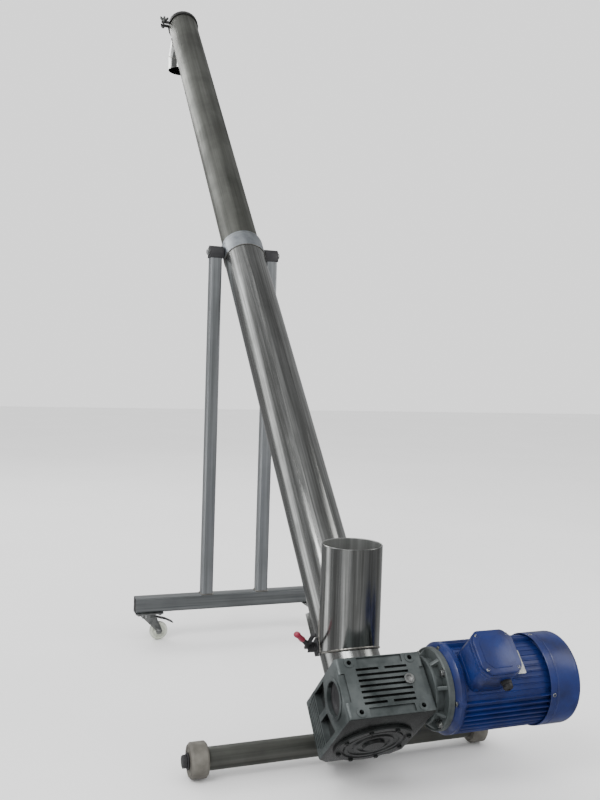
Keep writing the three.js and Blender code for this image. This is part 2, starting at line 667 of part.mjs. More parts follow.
// Pressed steel cowl: open at the front, with a ring of air slots in its end.
function fanCowl() {
  const r = COWL_R;
  const w = COWL_WALL;
  const edge = 10;
  const shell = turned([
    [r - w, COWL_START], [r, COWL_START], [r, COWL_END - edge], [r - 3, COWL_END - 3], [r - edge, COWL_END],
    [0, COWL_END], [0, COWL_END - w], [r - edge, COWL_END - w], [r - w - 2, COWL_END - edge],
    [r - w, COWL_END - edge - 2], [r - w, COWL_START],
  ]);
  const slots = [];
  for (let k = 0; k < COWL_SLOTS; k++) {
    const slot = block(26, r - 18, -4, 4, COWL_END - 6, COWL_END + 1);
    slots.push(slot.rotateZ((2 * Math.PI * k) / COWL_SLOTS));
  }
  return cut(shell, ...slots);
}
add(motor, 'motor_fan_cowl', fanCowl(), bluePaint());

// Terminal box on the up-facing side of the frame, open to its lid.
const BOX_FLOOR = FRAME_CORE_D / 2 + 1 + CLEAR;
const LID_SEAT = TERMINAL_LID_HEIGHT - TERMINAL_LID;
const BOX_MIDDLE = TERMINAL_BOX_START + TERMINAL_BOX_LENGTH / 2;
function lidOutline(length, width, corner) {
  const [x, y] = [length / 2, width / 2];
  return [
    [-x + corner, -y], [x - corner, -y], [x, -y + corner], [x, y - corner],
    [x - corner, y], [-x + corner, y], [-x, y - corner], [-x, -y + corner],
  ];
}
// Takes a piece drawn with its length along X, width along Y and height along Z onto the motor: its length
// then runs along the motor and its height points to -Y.
function placeOnMotor(geometry) {
  const m = new THREE.Matrix4().makeBasis(
    new THREE.Vector3(0, 0, 1), new THREE.Vector3(-1, 0, 0), new THREE.Vector3(0, -1, 0),
  );
  return geometry.applyMatrix4(m).translate(0, 0, BOX_MIDDLE);
}
function terminalBox() {
  const [length, width] = [TERMINAL_BOX_LENGTH - 2 * LID_OVERHANG, TERMINAL_BOX_WIDTH - 2 * LID_OVERHANG];
  const outer = slab(lidOutline(length, width, 12), BOX_FLOOR - 20, LID_SEAT);
  const w = TERMINAL_WALL;
  const room = slab(lidOutline(length - 2 * w, width - 2 * w, 10), BOX_FLOOR + w, LID_SEAT + 1);
  const clearOfFrame = alongX(post(around(BOX_FLOOR), -TERMINAL_BOX_LENGTH, TERMINAL_BOX_LENGTH));
  const glandHole = alongY(post(GLAND_D / 2 - 3, -TERMINAL_BOX_WIDTH, 0, 18));
  glandHole.translate(GLAND_X, 0, GLAND_HEIGHT);
  return placeOnMotor(cut(outer, clearOfFrame, room, glandHole));
}
const GLAND_X = 18;
const GLAND_HEIGHT = (BOX_FLOOR + TERMINAL_WALL + LID_SEAT) / 2;
add(motor, 'terminal_box', terminalBox(), bluePaint());

function terminalLid() {
  const top = TERMINAL_LID_HEIGHT;
  const [length, width] = [TERMINAL_BOX_LENGTH, TERMINAL_BOX_WIDTH];
  const skirt = slab(lidOutline(length, width, 16), LID_SEAT + CLEAR, top - 4);
  const crown = slab(lidOutline(length - 8, width - 8, 14), top - 5, top);
  return placeOnMotor(join(skirt, crown));
}
add(motor, 'terminal_box_lid', terminalLid(), bluePaint());

// Cable gland in the low wall of the box: a threaded stub inside, a flange and a dome nut outside.
function cableGland() {
  const wall = TERMINAL_BOX_WIDTH / 2 - LID_OVERHANG;
  const stub = GLAND_D / 2 - 3 - CLEAR;
  const seat = wall + CLEAR;
  const inside = wall - TERMINAL_WALL - 4;
  const bore = 4;
  const body = turned([
    [bore, inside], [stub, inside], [stub, seat], [GLAND_D / 2, seat],
    [GLAND_D / 2, seat + 7], [GLAND_D / 2 - 3, seat + 16], [bore, seat + 16], [bore, inside],
  ], 18);
  return placeOnMotor(alongY(body).rotateZ(Math.PI).translate(GLAND_X, 0, GLAND_HEIGHT));
}
add(motor, 'cable_gland', cableGland(), blackPlastic());

// ---------------------------------------------------------------- conveyor tubes
const SEAL_BORE_R = SHAFT_D / 2 + RUN;
add(line, 'tube_flange', ring(SEAL_BORE_R, FLANGE_D / 2, LINE_START, LINE_START + FLANGE), brushedSteel());

// The region above both mitre planes, where the hopper's wall takes over from the tube's.
function hopperSide(gap) {
  const size = 900;
  const wedge = block(-size / 2, size / 2, 0, size, 0, size).translate(0, gap, gap);
  const up = DOWN.clone().negate();
  const back = up.clone().add(new THREE.Vector3(0, 0, 1)).normalize();
  const front = up.clone().sub(new THREE.Vector3(0, 0, 1)).normalize();
  const basis = new THREE.Matrix4().makeBasis(new THREE.Vector3(1, 0, 0), front, back);
  return wedge.applyMatrix4(basis).translate(0, 0, HOPPER_AT);
}

// A sector of a tube's wall, centred on the side that faces down.
function shellSector(inner, outer, halfAngle, z0, z1) {
  const steps = 14;
  const a = THREE.MathUtils.degToRad(halfAngle);
  const arc = (r, from, to) => {
    const list = [];
    for (let k = 0; k <= steps; k++) {
      const angle = from + ((to - from) * k) / steps;
      list.push([r * Math.sin(angle), r * Math.cos(angle)]);
    }
    return list;
  };
  return slab([...arc(outer, -a, a), ...arc(inner, a, -a)], z0, z1);
}

const DOOR_END = DOOR_START + DOOR_LENGTH;
const LAP_ANGLE = THREE.MathUtils.radToDeg(DOOR_LAP / LOWER_R);
const DOOR_INNER_R = LOWER_R + CLEAR;
const DOOR_OUTER_R = DOOR_INNER_R + DOOR_THICKNESS;
const KNUCKLE_R = HINGE_PIN_D / 2 + KNUCKLE_WALL;
const HINGE_ANGLE = THREE.MathUtils.degToRad(DOOR_HALF_ANGLE) + (KNUCKLE_R + 2) / LOWER_R;
const HINGE_R = LOWER_R + KNUCKLE_R + 1;
const HINGE_X = HINGE_R * Math.sin(HINGE_ANGLE);
const HINGE_Y = HINGE_R * Math.cos(HINGE_ANGLE);
const HINGE_EAR = 12;

// Ear on the tube that holds one end of the door's hinge pin.
function hingeEar(z0) {
  const ear = post(KNUCKLE_R, z0, z0 + HINGE_EAR, 16).translate(HINGE_X, HINGE_Y, 0);
  const foot = block(-4, 4, LOWER_BORE_R + 1, HINGE_R, z0, z0 + HINGE_EAR).rotateZ(-HINGE_ANGLE);
  return [ear, foot];
}

function lowerTube() {
  const shell = ring(LOWER_BORE_R, LOWER_R, TUBE_START, LOWER_TUBE_END);
  const opening = shellSector(
    LOWER_BORE_R - 6, LOWER_R + 6, DOOR_HALF_ANGLE - LAP_ANGLE, DOOR_START + DOOR_LAP, DOOR_END - DOOR_LAP,
  );
  const [low, high] = [PIVOT_AT - PIVOT_BAND_WIDTH / 2, PIVOT_AT + PIVOT_BAND_WIDTH / 2];
  const band = ring(LOWER_R - 1, LOWER_R + PIVOT_BAND_THICKNESS, low, Math.min(high, LOWER_TUBE_END - 1));
  const pinHole = post(HINGE_PIN_D / 2 + CLEAR, DOOR_START - 30, DOOR_END + 30, 16);
  pinHole.translate(HINGE_X, HINGE_Y, 0);
  const ears = [...hingeEar(DOOR_START - HINGE_EAR - 1), ...hingeEar(DOOR_END + 1)];
  const bore = post(LOWER_BORE_R, TUBE_START - 1, LOWER_TUBE_END + 1);
  return cut(join(shell, band, ...ears), hopperSide(0), opening, pinHole, bore);
}
add(line, 'lower_tube', lowerTube(), polishedSteel());

// Upright round hopper, drawn about the vertical through the crossing of the axes, then mitred to the tube.
function hopper() {
  const wall = ring(HOPPER_R - HOPPER_WALL, HOPPER_R, -HOPPER_R * 4, HOPPER_HEIGHT);
  wall.rotateX(Math.PI / 2 - SLOPE).translate(0, 0, HOPPER_AT);
  return keep(wall, hopperSide(CLEAR));
}
add(line, 'hopper', hopper(), polishedSteel());

// Sleeve between the two tube sizes: a rim on the lower tube's end and a skirt inside it. The upper tube
// stands inside the sleeve.
const COLLAR_START = LOWER_TUBE_END + CLEAR;
const SKIRT_START = COLLAR_START - COLLAR_SKIRT;
function jointCollar() {
  const skirt = LOWER_BORE_R - CLEAR;
  const end = COLLAR_START + COLLAR_LENGTH;
  return turned([
    [COLLAR_BORE_R, SKIRT_START], [skirt, SKIRT_START], [skirt, COLLAR_START], [LOWER_R, COLLAR_START],
    [LOWER_R, end], [COLLAR_BORE_R, end], [COLLAR_BORE_R, SKIRT_START],
  ]);
}
add(line, 'joint_collar', jointCollar(), brushedSteel());

const spoutPath = [
  new THREE.Vector3(0, 0, SPOUT_AT),
  new THREE.Vector3(0, SPOUT_STUB, SPOUT_AT),
  new THREE.Vector3(0, SPOUT_STUB, SPOUT_AT).addScaledVector(DOWN, SPOUT_DROP),
];
const SPOUT_BORE_R = SPOUT_D / 2 - SPOUT_WALL;
function upperTube() {
  const shell = ring(UPPER_BORE_R, UPPER_R, SKIRT_START, LINE_END);
  const outlet = alongY(post(SPOUT_BORE_R, 1, UPPER_TUBE_D)).translate(0, 0, SPOUT_AT);
  return cut(shell, outlet);
}
add(line, 'upper_tube', upperTube(), dullSteel());

function dischargeSpout() {
  const past = spoutPath[2].clone().addScaledVector(DOWN, 1);
  const bore = mitredPipe(SPOUT_BORE_R, [spoutPath[0], spoutPath[1], past]);
  const tube = post(UPPER_R + CLEAR, SPOUT_AT - UPPER_TUBE_D, SPOUT_AT + UPPER_TUBE_D);
  return cut(mitredPipe(SPOUT_D / 2, spoutPath), bore, tube);
}
add(line, 'discharge_spout', dischargeSpout(), polishedSteel());

// Cover plate with a boss that holds the top bearing.
const BEARING_R = 26;
const BEARING_WIDTH = 15;
const TOP_JOURNAL_R = 12.5;
function endCover() {
  const inner = COVER_START - 22;
  return turned([
    [0, COVER_START + END_COVER], [UPPER_R + 2, COVER_START + END_COVER], [UPPER_R + 2, COVER_START],
    [BEARING_R + 5, COVER_START], [BEARING_R + 5, inner], [BEARING_R + CLEAR, inner],
    [BEARING_R + CLEAR, COVER_START + 2], [0, COVER_START + 2],
  ]);
}
add(line, 'end_cover', endCover(), brushedSteel());
const BEARING_START = COVER_START - 18;
const topBore = around(TOP_JOURNAL_R + CLEAR, SMALL_ROUND);
const topBearing = ring(topBore, BEARING_R, BEARING_START, BEARING_START + BEARING_WIDTH, SMALL_ROUND);
add(line, 'top_bearing', topBearing, brushedSteel());

// Split band round the tube's end with two ears, drawn with its split towards -X.
const CLAMP_START = LINE_END - CLAMP_WIDTH + 10;
const CLAMP_BORE_R = UPPER_R + 2 + CLEAR;
const CLAMP_MID = CLAMP_START + CLAMP_WIDTH / 2;
const EAR_X = -CLAMP_D / 2 - WING_REACH - RUN;
const CLAMP_EAR_THICKNESS = 5;
function clampRing() {
  const end = CLAMP_START + CLAMP_WIDTH;
  const band = ring(CLAMP_BORE_R, CLAMP_D / 2, CLAMP_START, end);
  const g = CLAMP_GAP / 2;
  const reach = EAR_X - EAR_MARGIN;
  const out = g + CLAMP_EAR_THICKNESS;
  const ears = block(reach, -CLAMP_BORE_R - 1, -out, out, CLAMP_START, end);
  const split = block(reach - 1, -CLAMP_BORE_R + 6, -g, g, CLAMP_START - 1, end + 1);
  const hole = alongY(post(CLAMP_BOLT_D / 2 + CLEAR, -30, 30, 16)).translate(EAR_X, 0, CLAMP_MID);
  return cut(join(band, ears), split, hole);
}
add(line, 'clamp_ring', clampRing(), darkSteel());

// Hinge bolt through the ears, with its head on the low side and the wing nut on the up-facing side.
const BOLT_HEAD_Y = CLAMP_GAP / 2 + CLAMP_EAR_THICKNESS + CLEAR;
const NUT_SEAT = -BOLT_HEAD_Y;
const NUT_HEIGHT = 10;
function clampBolt() {
  const shank = alongY(post(CLAMP_BOLT_D / 2, NUT_SEAT - NUT_HEIGHT - 8, BOLT_HEAD_Y + 1, 16));
  const head = alongY(post(CLAMP_BOLT_D * 0.85, BOLT_HEAD_Y, BOLT_HEAD_Y + 6, 6));
  return join(shank, head).translate(EAR_X, 0, CLAMP_MID);
}
add(line, 'clamp_bolt', clampBolt(), zinc());

function wingNut() {
  const hub = alongY(post(CLAMP_BOLT_D * 0.95, NUT_SEAT - NUT_HEIGHT, NUT_SEAT, 16));
  const wings = [-1, 1].map((side) => {
    const w = WING_REACH;
    const wing = slab([[4, -9], [6, -1.5], [9, -1.5], [w, -9], [w, -16], [w - 6, -16]], -1.8, 1.8);
    return wing.rotateY(side > 0 ? 0 : Math.PI).translate(0, NUT_SEAT, 0);
  });
  const bore = alongY(post(CLAMP_BOLT_D / 2 + CLEAR, NUT_SEAT - 2 * NUT_HEIGHT, NUT_SEAT + 1, 16));
  return cut(join(hub, ...wings), bore);
}
const nut = add(line, 'wing_nut', wingNut(), zinc());
nut.position.set(EAR_X, 0, CLAMP_MID);

// ---------------------------------------------------------------- screw
const SHAFT_TOP = BEARING_START - 4;
const SHAFT_BOTTOM = LINE_START - 0.5;
function augerShaft() {
  const drive = DRIVE_END_D / 2;
  const journal = TOP_JOURNAL_R;
  const journalTop = BEARING_START + BEARING_WIDTH;
  return turned([
    [0, -HOUSING_FACE + 8], [drive, -HOUSING_FACE + 8], [drive, SHAFT_BOTTOM], [SHAFT_D / 2, SHAFT_BOTTOM],
    [SHAFT_D / 2, SHAFT_TOP], [journal, SHAFT_TOP], [journal, journalTop], [0, journalTop],
  ], SMALL_ROUND);
}
add(line, 'auger_shaft', augerShaft(), brushedSteel());
const FLIGHT_BORE_R = SHAFT_D / 2 + CLEAR;
const MAIN_FLIGHT_START = FEED_FLIGHT_END + CLEAR;
const FLIGHT_END = SPOUT_AT - FLIGHT_SPOUT_GAP;
const feedFlight = flight(FLIGHT_BORE_R, FLIGHT_R, FLIGHT_START, FEED_FLIGHT_END, 14);
add(line, 'feed_flight', feedFlight, brushedSteel());
const mainFlight = flight(FLIGHT_BORE_R, FLIGHT_R, MAIN_FLIGHT_START, FLIGHT_END, 6);
add(line, 'auger_flight', mainFlight, brushedSteel());

// ---------------------------------------------------------------- clean-out door and latch
const KNUCKLE_END_GAP = 1;
function cleanoutDoor() {
  const leaf = shellSector(DOOR_INNER_R, DOOR_OUTER_R, DOOR_HALF_ANGLE, DOOR_START, DOOR_END);
  const [z0, z1] = [DOOR_START + KNUCKLE_END_GAP, DOOR_END - KNUCKLE_END_GAP];
  const knuckle = post(KNUCKLE_R, z0, z1, 16).translate(HINGE_X, HINGE_Y, 0);
  const strap = shellSector(DOOR_INNER_R + 1, DOOR_OUTER_R + 1, 5, z0 + 20, z1 - 20);
  strap.rotateZ(-(HINGE_ANGLE + THREE.MathUtils.degToRad(DOOR_HALF_ANGLE)) / 2);
  const lip = block(-2, 2, DOOR_INNER_R, DOOR_OUTER_R + 9, z0 + 30, z1 - 30);
  lip.rotateZ(THREE.MathUtils.degToRad(DOOR_HALF_ANGLE - 3));
  const pinHole = post(HINGE_PIN_D / 2 + CLEAR, z0 - 5, z1 + 5, 16).translate(HINGE_X, HINGE_Y, 0);
  return cut(join(leaf, knuckle, strap, lip), pinHole);
}
add(line, 'cleanout_door', cleanoutDoor(), polishedSteel());
const hingePin = post(HINGE_PIN_D / 2, DOOR_START - HINGE_EAR - 3, DOOR_END + HINGE_EAR + 3, 16);
add(line, 'door_hinge_pin', hingePin.translate(HINGE_X, HINGE_Y, 0), zinc());

// Toggle latch on the tube's -X side. Its lever turns about an axis along the tube, and is drawn lying
// along -X before it is raised to its angle.
const LATCH_PIVOT_X = -LOWER_R - 14;
const LATCH_PIN_R = 3;
const LATCH_BODY = 9;
function latchBase() {
  const foot = block(-LOWER_R - 4, -LOWER_R + 14, -10, 14, -14, 14);
  const cheeks = [-1, 1].map((s) => {
    const z = (s * (LATCH_BODY + 3)) / 2 + s * CLEAR;
    return block(LATCH_PIVOT_X - 6, -LOWER_R - 2, -7, 7, z - 1.5, z + 1.5);
  });
  const pin = post(LATCH_PIN_R, -LATCH_BODY / 2 - 3, LATCH_BODY / 2 + 3, 12).translate(LATCH_PIVOT_X, 0, 0);
  const seat = post(around(LOWER_R + CLEAR), -40, 40).translate(0, -LATCH_BELOW, 0);
  return cut(join(foot, ...cheeks, pin), seat).translate(0, LATCH_BELOW, LATCH_AT);
}
add(line, 'latch_base', latchBase(), darkSteel());

const latch = new THREE.Group();
latch.position.set(LATCH_PIVOT_X, LATCH_BELOW, LATCH_AT);
latch.rotation.z = THREE.MathUtils.degToRad(LATCH_ANGLE);
line.add(latch);
function latchLever() {
  const h = LATCH_BODY / 2;
  const t = LEVER_THICKNESS / 2;
  const arm = slab(
    [[7, -6], [7, 6], [-12, 5], [-LATCH_LEVER, LEVER_END], [-LATCH_LEVER, -LEVER_END], [-12, -5]], -t, t,
  );
  const boss = post(7, -h, h, 16);
  const hook = slab([[-6, 2], [-6, -44], [-2, -50], [-7, -55], [-13, -47], [-13, 2]], -t, t);
  hook.rotateZ(-THREE.MathUtils.degToRad(LATCH_ANGLE));
  return cut(join(boss, arm, hook), post(LATCH_PIN_R + CLEAR, -h - 1, h + 1, 12));
}
add(latch, 'latch_lever', latchLever(), darkSteel());
function latchGrip() {
  const start = -LATCH_LEVER + 8;
  const end = start - LATCH_GRIP;
  const body = turned([
    [0, 0], [4.5, 0], [6, 4], [5.2, LATCH_GRIP * 0.5],
    [6.4, LATCH_GRIP - 5], [4, LATCH_GRIP], [0, LATCH_GRIP],
  ], 14);
  body.rotateY(-Math.PI / 2).translate(start, 0, 0);
  const [wide, thick] = [LEVER_END + 2 * CLEAR, LEVER_THICKNESS / 2 + CLEAR];
  return cut(body, block(end + 30, start + 1, -wide, wide, -thick, thick));
}
add(latch, 'latch_grip', latchGrip(), redPlastic());

// ---------------------------------------------------------------- axle and rollers, in world directions
const axle = new THREE.Group();
axle.position.set(0, AXLE_BACK, AXLE_Z);
auger.add(axle);
const AXLE_R = AXLE_TUBE_D / 2;
function axleTube() {
  const half = AXLE_HALF_LENGTH;
  const plug = 10;
  const bore = AXLE_R - AXLE_TUBE_WALL;
  const hole = ROLLER_BOLT_D / 2 + CLEAR;
  return turned([
    [bore, -half + plug], [hole, -half + plug], [hole, -half], [AXLE_R, -half], [AXLE_R, half], [hole, half],
    [hole, half - plug], [bore, half - plug], [bore, -half + plug],
  ]);
}
add(axle, 'axle_tube', alongX(axleTube()), dullSteel());

for (const [side, label] of [[-1, 'left'], [1, 'right']]) {
  const inner = AXLE_HALF_LENGTH + RUN;
  const r = ROLLER_D / 2;
  const c = 4;
  const bore = ROLLER_BOLT_D / 2 + CLEAR;
  const roller = turned([
    [bore, inner], [r - c, inner], [r, inner + c], [r, inner + ROLLER_WIDTH - c],
    [r - c, inner + ROLLER_WIDTH], [bore, inner + ROLLER_WIDTH], [bore, inner],
  ], ROUND);
  add(axle, `roller_${label}`, alongX(roller).scale(side, 1, 1), rollerPlastic());
  const seat = inner + ROLLER_WIDTH + RUN;
  const shank = post(ROLLER_BOLT_D / 2, AXLE_HALF_LENGTH - 30, seat + 1, 16);
  const washer = post(ROLLER_BOLT_D / 2 + 8, seat, seat + 2.5, 24);
  const head = post(ROLLER_BOLT_D * 0.85, seat + 2, seat + 11, 6);
  add(axle, `roller_bolt_${label}`, alongX(join(shank, washer, head)).scale(side, 1, 1), darkSteel());
}

// Bracket under the gearbox: a plate on the foot face and two webs down to the axle tube.
function axleBracket() {
  const y = AXLE_BACK * Math.sin(SLOPE) - (AXLE_Z - BOX_CENTRE_Z) * Math.cos(SLOPE);
  const z = AXLE_BACK * Math.cos(SLOPE) + (AXLE_Z - BOX_CENTRE_Z) * Math.sin(SLOPE);
  const plateTop = FOOT_SIDE + CLEAR;
  const wide = BOX_HALF_X - BOX_CHAMFER;
  const long = BRACKET_PLATE_LENGTH / 2;
  const plate = block(-wide, wide, plateTop, plateTop + BRACKET_PLATE, -long, long);
  const webs = [-1, 1].map((s) => {
    const x = (s * BRACKET_WEB_SPACING) / 2;
    const half = BRACKET_WEB / 2;
    return block(x - half, x + half, plateTop + 1, y, z - AXLE_R - 10, z + AXLE_R + 10);
  });
  const tube = alongX(post(AXLE_R + CLEAR, -BOX_WIDTH, BOX_WIDTH)).translate(0, y, z);
  return cut(join(plate, ...webs), tube);
}
add(line, 'axle_bracket', axleBracket(), darkSteel());

// ---------------------------------------------------------------- stand, in world directions from the floor
const stand = new THREE.Group();
stand.position.set(0, PIVOT_Y, 0);
auger.add(stand);

// A square tube with its open ends along Z.
function squareTube(section, wall, z0, z1) {
  const [o, i] = [section / 2, section / 2 - wall];
  return cut(block(-o, o, -o, o, z0, z1), block(-i, i, -i, i, z0 - 1, z1 + 1));
}
const beam = alongX(squareTube(BEAM_SECTION, BEAM_WALL, -BEAM_LENGTH / 2, BEAM_LENGTH / 2));
add(stand, 'base_beam', beam.translate(0, 0, BEAM_BOTTOM + BEAM_SECTION / 2), brushedSteel());

// Block on top of an upright, rounded over the pivot bolt.
function uprightHead() {
  const r = HEAD_DEPTH / 2;
  const outline = [[-HEAD_HEIGHT / 2, -r], [-HEAD_HEIGHT / 2, r]];
  for (let k = 0; k <= 12; k++) {
    const a = Math.PI / 2 - (Math.PI * k) / 12;
    outline.push([r * Math.cos(a), r * Math.sin(a)]);
  }
  const body = alongX(slab(outline.map(([h, y]) => [-h, y]), -HEAD_WIDTH / 2, HEAD_WIDTH / 2));
  const bore = alongX(post(PIVOT_PIN_D / 2 + CLEAR, -HEAD_WIDTH, HEAD_WIDTH, 24));
  return cut(body, bore);
}
for (const [side, label] of [[-1, 'left'], [1, 'right']]) {
  const upright = squareTube(UPRIGHT_SECTION, BEAM_WALL, UPRIGHT_BOTTOM, UPRIGHT_TOP);
  add(stand, `upright_${label}`, upright.translate(side * UPRIGHT_X, 0, 0), brushedSteel());
  const head = uprightHead().translate(side * HEAD_MIDDLE, 0, PIVOT_Z);
  add(stand, `upright_head_${label}`, head, darkSteel());
  const seat = HEAD_MIDDLE + HEAD_WIDTH / 2 + 0.6;
  const shank = post(PIVOT_PIN_D / 2, BAND_R + CLEAR, seat + 1, 24);
  const bolt = join(shank, post(PIVOT_HEAD_D / 2, seat, seat + PIVOT_HEAD, 24));
  add(stand, `pivot_pin_${label}`, alongX(bolt).scale(side, 1, 1).translate(0, 0, PIVOT_Z), zinc());
}

// ---------------------------------------------------------------- casters
const WHEEL_R = CASTER_WHEEL_D / 2;
const PLATE_BOTTOM = CASTER_HEIGHT - CLEAR - CASTER_PLATE;
const RACE_TOP = PLATE_BOTTOM - CLEAR;
const RACE_BOTTOM = RACE_TOP - CASTER_RACE;
const CHEEK = CASTER_WHEEL_WIDTH / 2 + RUN;

// Plan: the swivel axis is at the origin, and the wheel trails along +X.
function casterFork() {
  const crown = block(-CASTER_RACE_D / 2 + 3, CASTER_TRAIL * 0.7, -CHEEK - FORK_WALL, CHEEK + FORK_WALL,
    RACE_BOTTOM - 3, RACE_BOTTOM + 1);
  const race = post(CASTER_RACE_D / 2, RACE_BOTTOM, RACE_TOP, SMALL_ROUND);
  const cheeks = [-1, 1].map((s) => {
    const y = s * (CHEEK + FORK_WALL / 2);
    const side = slab([
      [-CASTER_RACE_D / 2 + 3, RACE_BOTTOM], [CASTER_TRAIL * 0.7, RACE_BOTTOM],
      [CASTER_TRAIL + 9, WHEEL_R + 2], [CASTER_TRAIL + 6, WHEEL_R - 7],
      [CASTER_TRAIL - 6, WHEEL_R - 7], [CASTER_TRAIL - 10, WHEEL_R + 4],
    ], -FORK_WALL / 2, FORK_WALL / 2);
    return side.rotateX(Math.PI / 2).translate(0, y, 0);
  });
  const rivet = CHEEK + FORK_WALL + 2;
  const pin = alongY(post(CASTER_AXLE_D / 2, -rivet, rivet, 16)).translate(CASTER_TRAIL, 0, WHEEL_R);
  return join(race, crown, ...cheeks, pin);
}

function casterWheel() {
  const w = CASTER_WHEEL_WIDTH / 2;
  const bore = CASTER_AXLE_D / 2 + CLEAR;
  return turned([
    [bore, -w], [WHEEL_R - 9, -w], [WHEEL_R - 8, -w + 2], [WHEEL_R - 3, -w + 1], [WHEEL_R, -w + 5],
    [WHEEL_R, w - 5], [WHEEL_R - 3, w - 1], [WHEEL_R - 8, w - 2], [WHEEL_R - 9, w], [bore, w], [bore, -w],
  ]);
}

// Pedal over the wheel: a plate that slopes out beyond the fork, hinged at the fork's crown.
const PEDAL_X = CASTER_TRAIL * 0.7 + 2;
const PEDAL_Z = RACE_BOTTOM - 1;
function brakePedal() {
  const t = PEDAL_THICKNESS;
  const [bendX, bendZ] = [PEDAL_LENGTH * 0.55, -PEDAL_DROP * 0.4];
  const profile = [
    [0, -t], [bendX, bendZ - t], [PEDAL_LENGTH, -PEDAL_DROP - t],
    [PEDAL_LENGTH, -PEDAL_DROP], [bendX, bendZ], [0, 0],
  ];
  const plate = slab(profile, -PEDAL_WIDTH / 2, PEDAL_WIDTH / 2);
  return plate.rotateX(Math.PI / 2);
}

for (const [side, label] of [[-1, 'left'], [1, 'right']]) {
  const caster = new THREE.Group();
  caster.position.x = side * (BEAM_LENGTH / 2 - CASTER_PLATE_LENGTH / 2);
  stand.add(caster);
  const [x, y] = [CASTER_PLATE_LENGTH / 2, CASTER_PLATE_WIDTH / 2];
  const plate = block(-x, x, -y, y, PLATE_BOTTOM, PLATE_BOTTOM + CASTER_PLATE);
  add(caster, `caster_plate_${label}`, plate, zinc());
  add(caster, `caster_fork_${label}`, casterFork(), zinc());
  const wheel = add(caster, `caster_wheel_${label}`, alongY(casterWheel()), casterPlastic());
  wheel.position.set(CASTER_TRAIL, 0, WHEEL_R);
  const pedal = add(caster, `caster_brake_${label}`, brakePedal(), blackPlastic());
  pedal.position.set(PEDAL_X, 0, PEDAL_Z);
}

// ---------------------------------------------------------------- origin: footprint's centre, on the floor
auger.updateMatrixWorld(true);
const extent = new THREE.Box3().setFromObject(auger, true);
const middle = extent.getCenter(new THREE.Vector3());
auger.position.set(-middle.x, -middle.y, -extent.min.z);
auger.updateMatrixWorld(true);

export default auger;
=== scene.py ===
"""Mobile grain auger: detailed surfaces, finishes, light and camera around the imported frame."""

import json
import math

import bmesh
import bpy
from mathutils import Matrix, Vector


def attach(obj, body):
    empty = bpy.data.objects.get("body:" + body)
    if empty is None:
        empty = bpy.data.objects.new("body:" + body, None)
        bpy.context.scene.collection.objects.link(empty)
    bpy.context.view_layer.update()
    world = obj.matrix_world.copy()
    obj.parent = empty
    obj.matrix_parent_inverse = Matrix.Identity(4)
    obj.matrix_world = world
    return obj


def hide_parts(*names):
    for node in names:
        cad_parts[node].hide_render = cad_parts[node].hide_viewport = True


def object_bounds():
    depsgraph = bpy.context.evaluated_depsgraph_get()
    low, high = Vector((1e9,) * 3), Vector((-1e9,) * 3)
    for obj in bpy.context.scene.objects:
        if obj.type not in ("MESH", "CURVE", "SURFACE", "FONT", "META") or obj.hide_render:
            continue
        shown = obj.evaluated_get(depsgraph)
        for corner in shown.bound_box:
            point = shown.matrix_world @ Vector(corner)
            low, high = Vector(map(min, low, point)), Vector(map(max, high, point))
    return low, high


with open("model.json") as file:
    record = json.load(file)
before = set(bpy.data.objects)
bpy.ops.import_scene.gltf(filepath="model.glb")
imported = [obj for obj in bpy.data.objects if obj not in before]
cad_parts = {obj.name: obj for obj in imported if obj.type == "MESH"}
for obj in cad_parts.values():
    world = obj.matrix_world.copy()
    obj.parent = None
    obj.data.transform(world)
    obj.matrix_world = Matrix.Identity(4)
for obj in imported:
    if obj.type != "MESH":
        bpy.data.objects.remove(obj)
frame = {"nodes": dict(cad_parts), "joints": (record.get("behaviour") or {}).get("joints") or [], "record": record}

cad_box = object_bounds()

CLEAR = 0.0003  # gap left between pieces that seat on each other, in metres
PAST = 0.01  # how far a cutting tool reaches past what it cuts
SIDES = 96  # sides of a large round surface
FINE_SIDES = 128  # of the tubes, which show their outline
SMALL_SIDES = 40
SHARP = math.radians(28)  # edges sharper than this are shaded as edges

# ---------------------------------------------------------------- frames, from the joints
JOINT = {j["name"]: j for j in frame["joints"]}
BODY = {n: b for b, nodes in frame["record"]["behaviour"]["bodies"].items() for n in nodes}
SLOT = {s["node"]: s["material_slot"] for s in frame["record"]["subparts"]}


def joint_place(name):
    return Vector(JOINT[name]["pos_m"])


def axes(origin, x, z):
    """Matrix of a frame with this origin and these X and Z directions."""
    y = z.cross(x)
    return Matrix.Translation(origin) @ Matrix((x, y, z)).transposed().to_4x4()


ACROSS = Vector((1, 0, 0))
UP = Vector((0, 0, 1))
SWAP_XZ = Matrix(((0, 0, 1, 0), (0, 1, 0, 0), (1, 0, 0, 0), (0, 0, 0, 1)))  # a prism's Z lies along X
TUBE_AXIS = Vector(JOINT["screw_turn"]["axis"]).normalized()
GEARBOX = joint_place("screw_turn")
# Along the tube: Z runs up the tube, X across, -Y is the side that faces up.
LINE = axes(GEARBOX, ACROSS, TUBE_AXIS)
# Along the motor: Z runs outwards, -Y is still the side that faces up.
MOTOR = axes(joint_place("drive_turn"), -TUBE_AXIS, ACROSS)
WORM_Y = (LINE.inverted() @ joint_place("drive_turn")).y
axle_place = joint_place("roller_left_spin")
AXLE = axes(Vector((GEARBOX.x, axle_place.y, axle_place.z)), UP, ACROSS)
PIVOT = axes(joint_place("stand_fold"), UP, ACROSS)


def span(node, place=None):
    """Lowest and highest corner of a CAD node in a frame."""
    inverse = (place or Matrix.Identity(4)).inverted()
    points = [inverse @ v.co for v in frame["nodes"][node].data.vertices]
    low = Vector([min(p[i] for p in points) for i in range(3)])
    high = Vector([max(p[i] for p in points) for i in range(3)])
    return low, high


